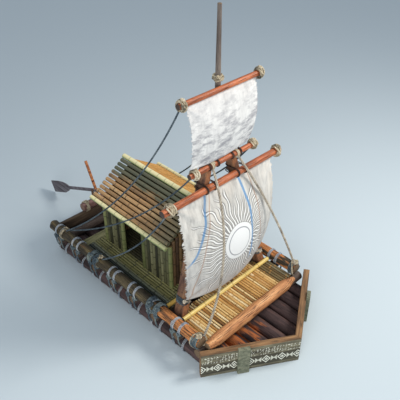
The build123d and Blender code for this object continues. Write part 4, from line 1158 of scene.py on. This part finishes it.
def hung(start, middle, end, reach, count=40):
    """Points of the arc through three points, less those within reach of the yard or inside the gunwale."""
    a, b, c = Vector(start), Vector(middle), Vector(end)
    ab, ac = b - a, c - a
    normal = ab.cross(ac)
    bisected = ac.length_squared * normal.cross(ab) * -1 + ab.length_squared * normal.cross(ac)
    centre = a + bisected * (-1 / (2 * normal.length_squared))
    u = (a - centre).normalized()
    v = normal.normalized().cross(u)
    last = math.atan2((c - centre).dot(v), (c - centre).dot(u)) % (2 * math.pi)
    angles = [last * k / count for k in range(count + 1)]
    arc = [centre + (u * math.cos(t) + v * math.sin(t)) * (a - centre).length for t in angles]
    gunwale_y = math.copysign(GUNWALE_Y, c.y)
    return [p for p in arc if math.hypot(p.x - a.x, p.z - a.z) > reach
            and math.hypot(p.y - gunwale_y, p.z - GUNWALE_Z) > GUNWALE_R + 0.012]


ties, made_off, bow_runs = [], [], []
dice = random.Random(21)
for node, (x, z, r, ends), station, foot_y, sag in (
        ("stay_topsail_aft", TOP_YARD, -5.522, 1.800, 0.640),
        ("stay_lower_yard_aft", LOW_YARD, -5.522, 1.690, 0.480),
        ("stay_main_yard_aft", MAIN_YARD, -3.870, 1.790, 0.340)):
    runs = []
    for side, y in zip((-1, 1), ends):
        foot_x = DATUM + station
        middle = ((x + foot_x) / 2, (y + side * foot_y) / 2, (z + FOOT_Z) / 2 - sag)
        runs.append((0.022, hung((x, y, z), middle, (foot_x, side * foot_y, FOOT_Z), r + 0.03)))
        ties.append(coil((foot_x, side * GUNWALE_Y, GUNWALE_Z), (1, 0, 0), GUNWALE_R, 0.016, 2.4,
                         dice.uniform(0, 6), 0.002))
        ties.append(knot((foot_x + 0.02, side * (GUNWALE_Y - 0.02), GUNWALE_Z + 0.185), (0.2, 0, 1), 0.020,
                         0.048, dice.uniform(0, 6)))
    fit(grow(node + "_rope", runs, laid_rope, dark_rope, Sides=12, Segment=0.03, Twists_per_Metre=5.0,
             Strand_Depth=0.18), "rope", node)
for side, forward, sideways in ((1, 0.060, 0.110), (-1, 0.340, 0.170)):
    start = Vector((LOW_X, side * BOW_STAY_Y, LOW_Z))
    end = Vector((DATUM - 0.060, side * (GUNWALE_Y - 0.040), FOOT_Z))
    middle = (start + end) / 2 + Vector((forward, sideways, 0))
    bow_runs.append((0.032, hung(start, middle, end, LOW_R + 0.008)))
    place = Vector((BOW_MAKE_OFF_X, side * GUNWALE_Y, GUNWALE_Z))
    made_off.append(coil(place, (1, 0, 0.05), GUNWALE_R, 0.021, 3.3, dice.uniform(0, 6), 0.006))
    ties.append(coil(place, (1, side * 0.6, 0.2), GUNWALE_R + 0.036, 0.020, 1.1, dice.uniform(0, 6), 0.006))
    ties.append(knot(place + Vector((0.04, side * 0.02, 0.200)), (0.3, 0, 1), 0.022, 0.060,
                     dice.uniform(0, 6)))
    ties.append(coil(start, (0, 1, 0), LOW_R, 0.018, 2.3, dice.uniform(0, 6), 0.003))
fit(grow("stay_bow_rope", bow_runs, laid_rope, tan_rope, Sides=12, Segment=0.03, Twists_per_Metre=5.0,
         Strand_Depth=0.18), "rope", "stay_bow")
fit(grow("stay_knots", ties, laid_rope, knot_rope, Sides=12, Segment=0.02, Twists_per_Metre=8.0), "rope")
fit(grow("bow_stay_turns", made_off, laid_rope, grey_rope, Sides=12, Segment=0.02, Twists_per_Metre=8.0),
    "rope")

# Tacks of the mainsail: each lower corner is tied to its mast leg with turns of blue-grey rope and a
# short pale lanyard, knotted at both ends.
TACK_ROPE = 0.018
tacks, lanyards = [], []
for side, corner_y in ((-1, -1.450), (1, 1.120)):
    leg = leg_point(1.150, side)
    deep, wide = leg_size(1.150)
    for k in range(4):
        centre = leg_point(1.090 + 0.038 * k, side)
        points = []
        for n in range(29):
            a = 2 * math.pi * n / 28
            px, py = math.cos(a), math.sin(a)
            # Squares the turn to the leg, with its corners rounded
            square = min(1.0 / max(abs(px), abs(py)), 1.13)
            points.append(centre + Vector((px * square * (deep / 2 + 0.016), py * square * (wide / 2 + 0.016),
                                           0.014 * math.sin(a + k))))
        tacks.append((TACK_ROPE, points))
    corner = Vector((DATUM - 0.925, corner_y, 1.315))
    hook = Vector((leg.x + deep / 2 + 0.035, leg.y, 1.170))
    lanyards.append((0.014, [corner, (corner + hook) / 2 + Vector((0.03, 0, -0.02)), hook]))
    lanyards.append(knot(corner + Vector((0.02, side * 0.01, -0.03)), (1, 0, 0), 0.017, 0.040, 1.3))
    lanyards.append(knot(hook + Vector((0.01, 0, 0)), (1, 0, 0), 0.017, 0.045, 0.4))
fit(grow("tack_turns", tacks, laid_rope, dark_rope, Sides=10, Segment=0.02, Twists_per_Metre=9.0), "rope")
fit(grow("tack_lanyards", lanyards, laid_rope, tan_rope, Sides=10, Segment=0.02, Twists_per_Metre=9.0),
    "rope")

# Steering gear: a reddish log on the stern board carries a forked timber crutch, which turns, and the
# oar lies in its fork on a dark hardwood pin: a round loom, a broad grey weathered blade and a tiller.
LOG_R = 0.130
steer_wood = barked_timber("reddish_steering_log", ((0.30, "5B4340"), (0.46, "84625A"), (0.62, "A5807A"),
                                                    (0.78, "BC9A93")), "3A2A2A", end=("A88A78", "6E5148"))
low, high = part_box("steering_log")
x, z = (low.x + high.x) / 2, low.z + LOG_R
fit(grow("steering_log_timber", [(LOG_R, [(x, low.y, z), (x, high.y, z)])], round_timbers, steer_wood, 0.010,
         Sides=24, Segment=0.06, Lump_Height=0.006, Lump_Size=0.14, Seed=33), "hewn_timber", "steering_log")
turns = [coil((x, low.y + LOG_R, z), (0, 1, 0), LOG_R, 0.022, 2.8, 0.5, 0.004),
         knot((x + 0.06, low.y + LOG_R, z + LOG_R + 0.045), (0, 0.2, 1), 0.022, 0.050, 2.0)]
fit(grow("steering_log_lashing", turns, laid_rope, knot_rope, Sides=12, Segment=0.02, Twists_per_Metre=8.0),
    "rope")
crutch_wood = sawn_board("brown_crutch_timber", ((0.30, "4A362A"), (0.50, "6E5240"), (0.72, "8C6B52")), ALONG)
pin_wood = sawn_board("dark_hardwood_pin", ((0.30, "241A14"), (0.50, "3A2A20"), (0.72, "523C2E")), ACROSS)
oar_wood = sawn_board("grey_weathered_oar", ((0.30, "4A4347"), (0.48, "696166"), (0.64, "868084"),
                                             (0.80, "A19B9E")), ALONG)
tiller_wood = sawn_board("orange_brown_tiller", ((0.30, "4E2A1B"), (0.42, "9C5A32"), (0.60, "CC8450"),
                                                 (0.80, "E8B483")), ACROSS, roughness=0.5)
for name, node, body, finish, slot, round_off in (
        ("oar_crutch_fork", "oar_crutch", "crutch", crutch_wood, "hewn_timber", 0.0025),
        ("oar_pin_peg", "oar_pin", "crutch", pin_wood, "dark_pin", 0.0015),
        ("oar_loom_shaft", "oar_loom", "oar", oar_wood, "oar_timber", 0.002),
        ("oar_blade_board", "oar_blade", "oar", oar_wood, "oar_timber", 0.004),
        ("oar_tiller_pole", "oar_tiller", "oar", tiller_wood, "tiller_timber", 0.002)):
    fit(worn_copy(name, node, round_off, finish), slot, node, body=body)
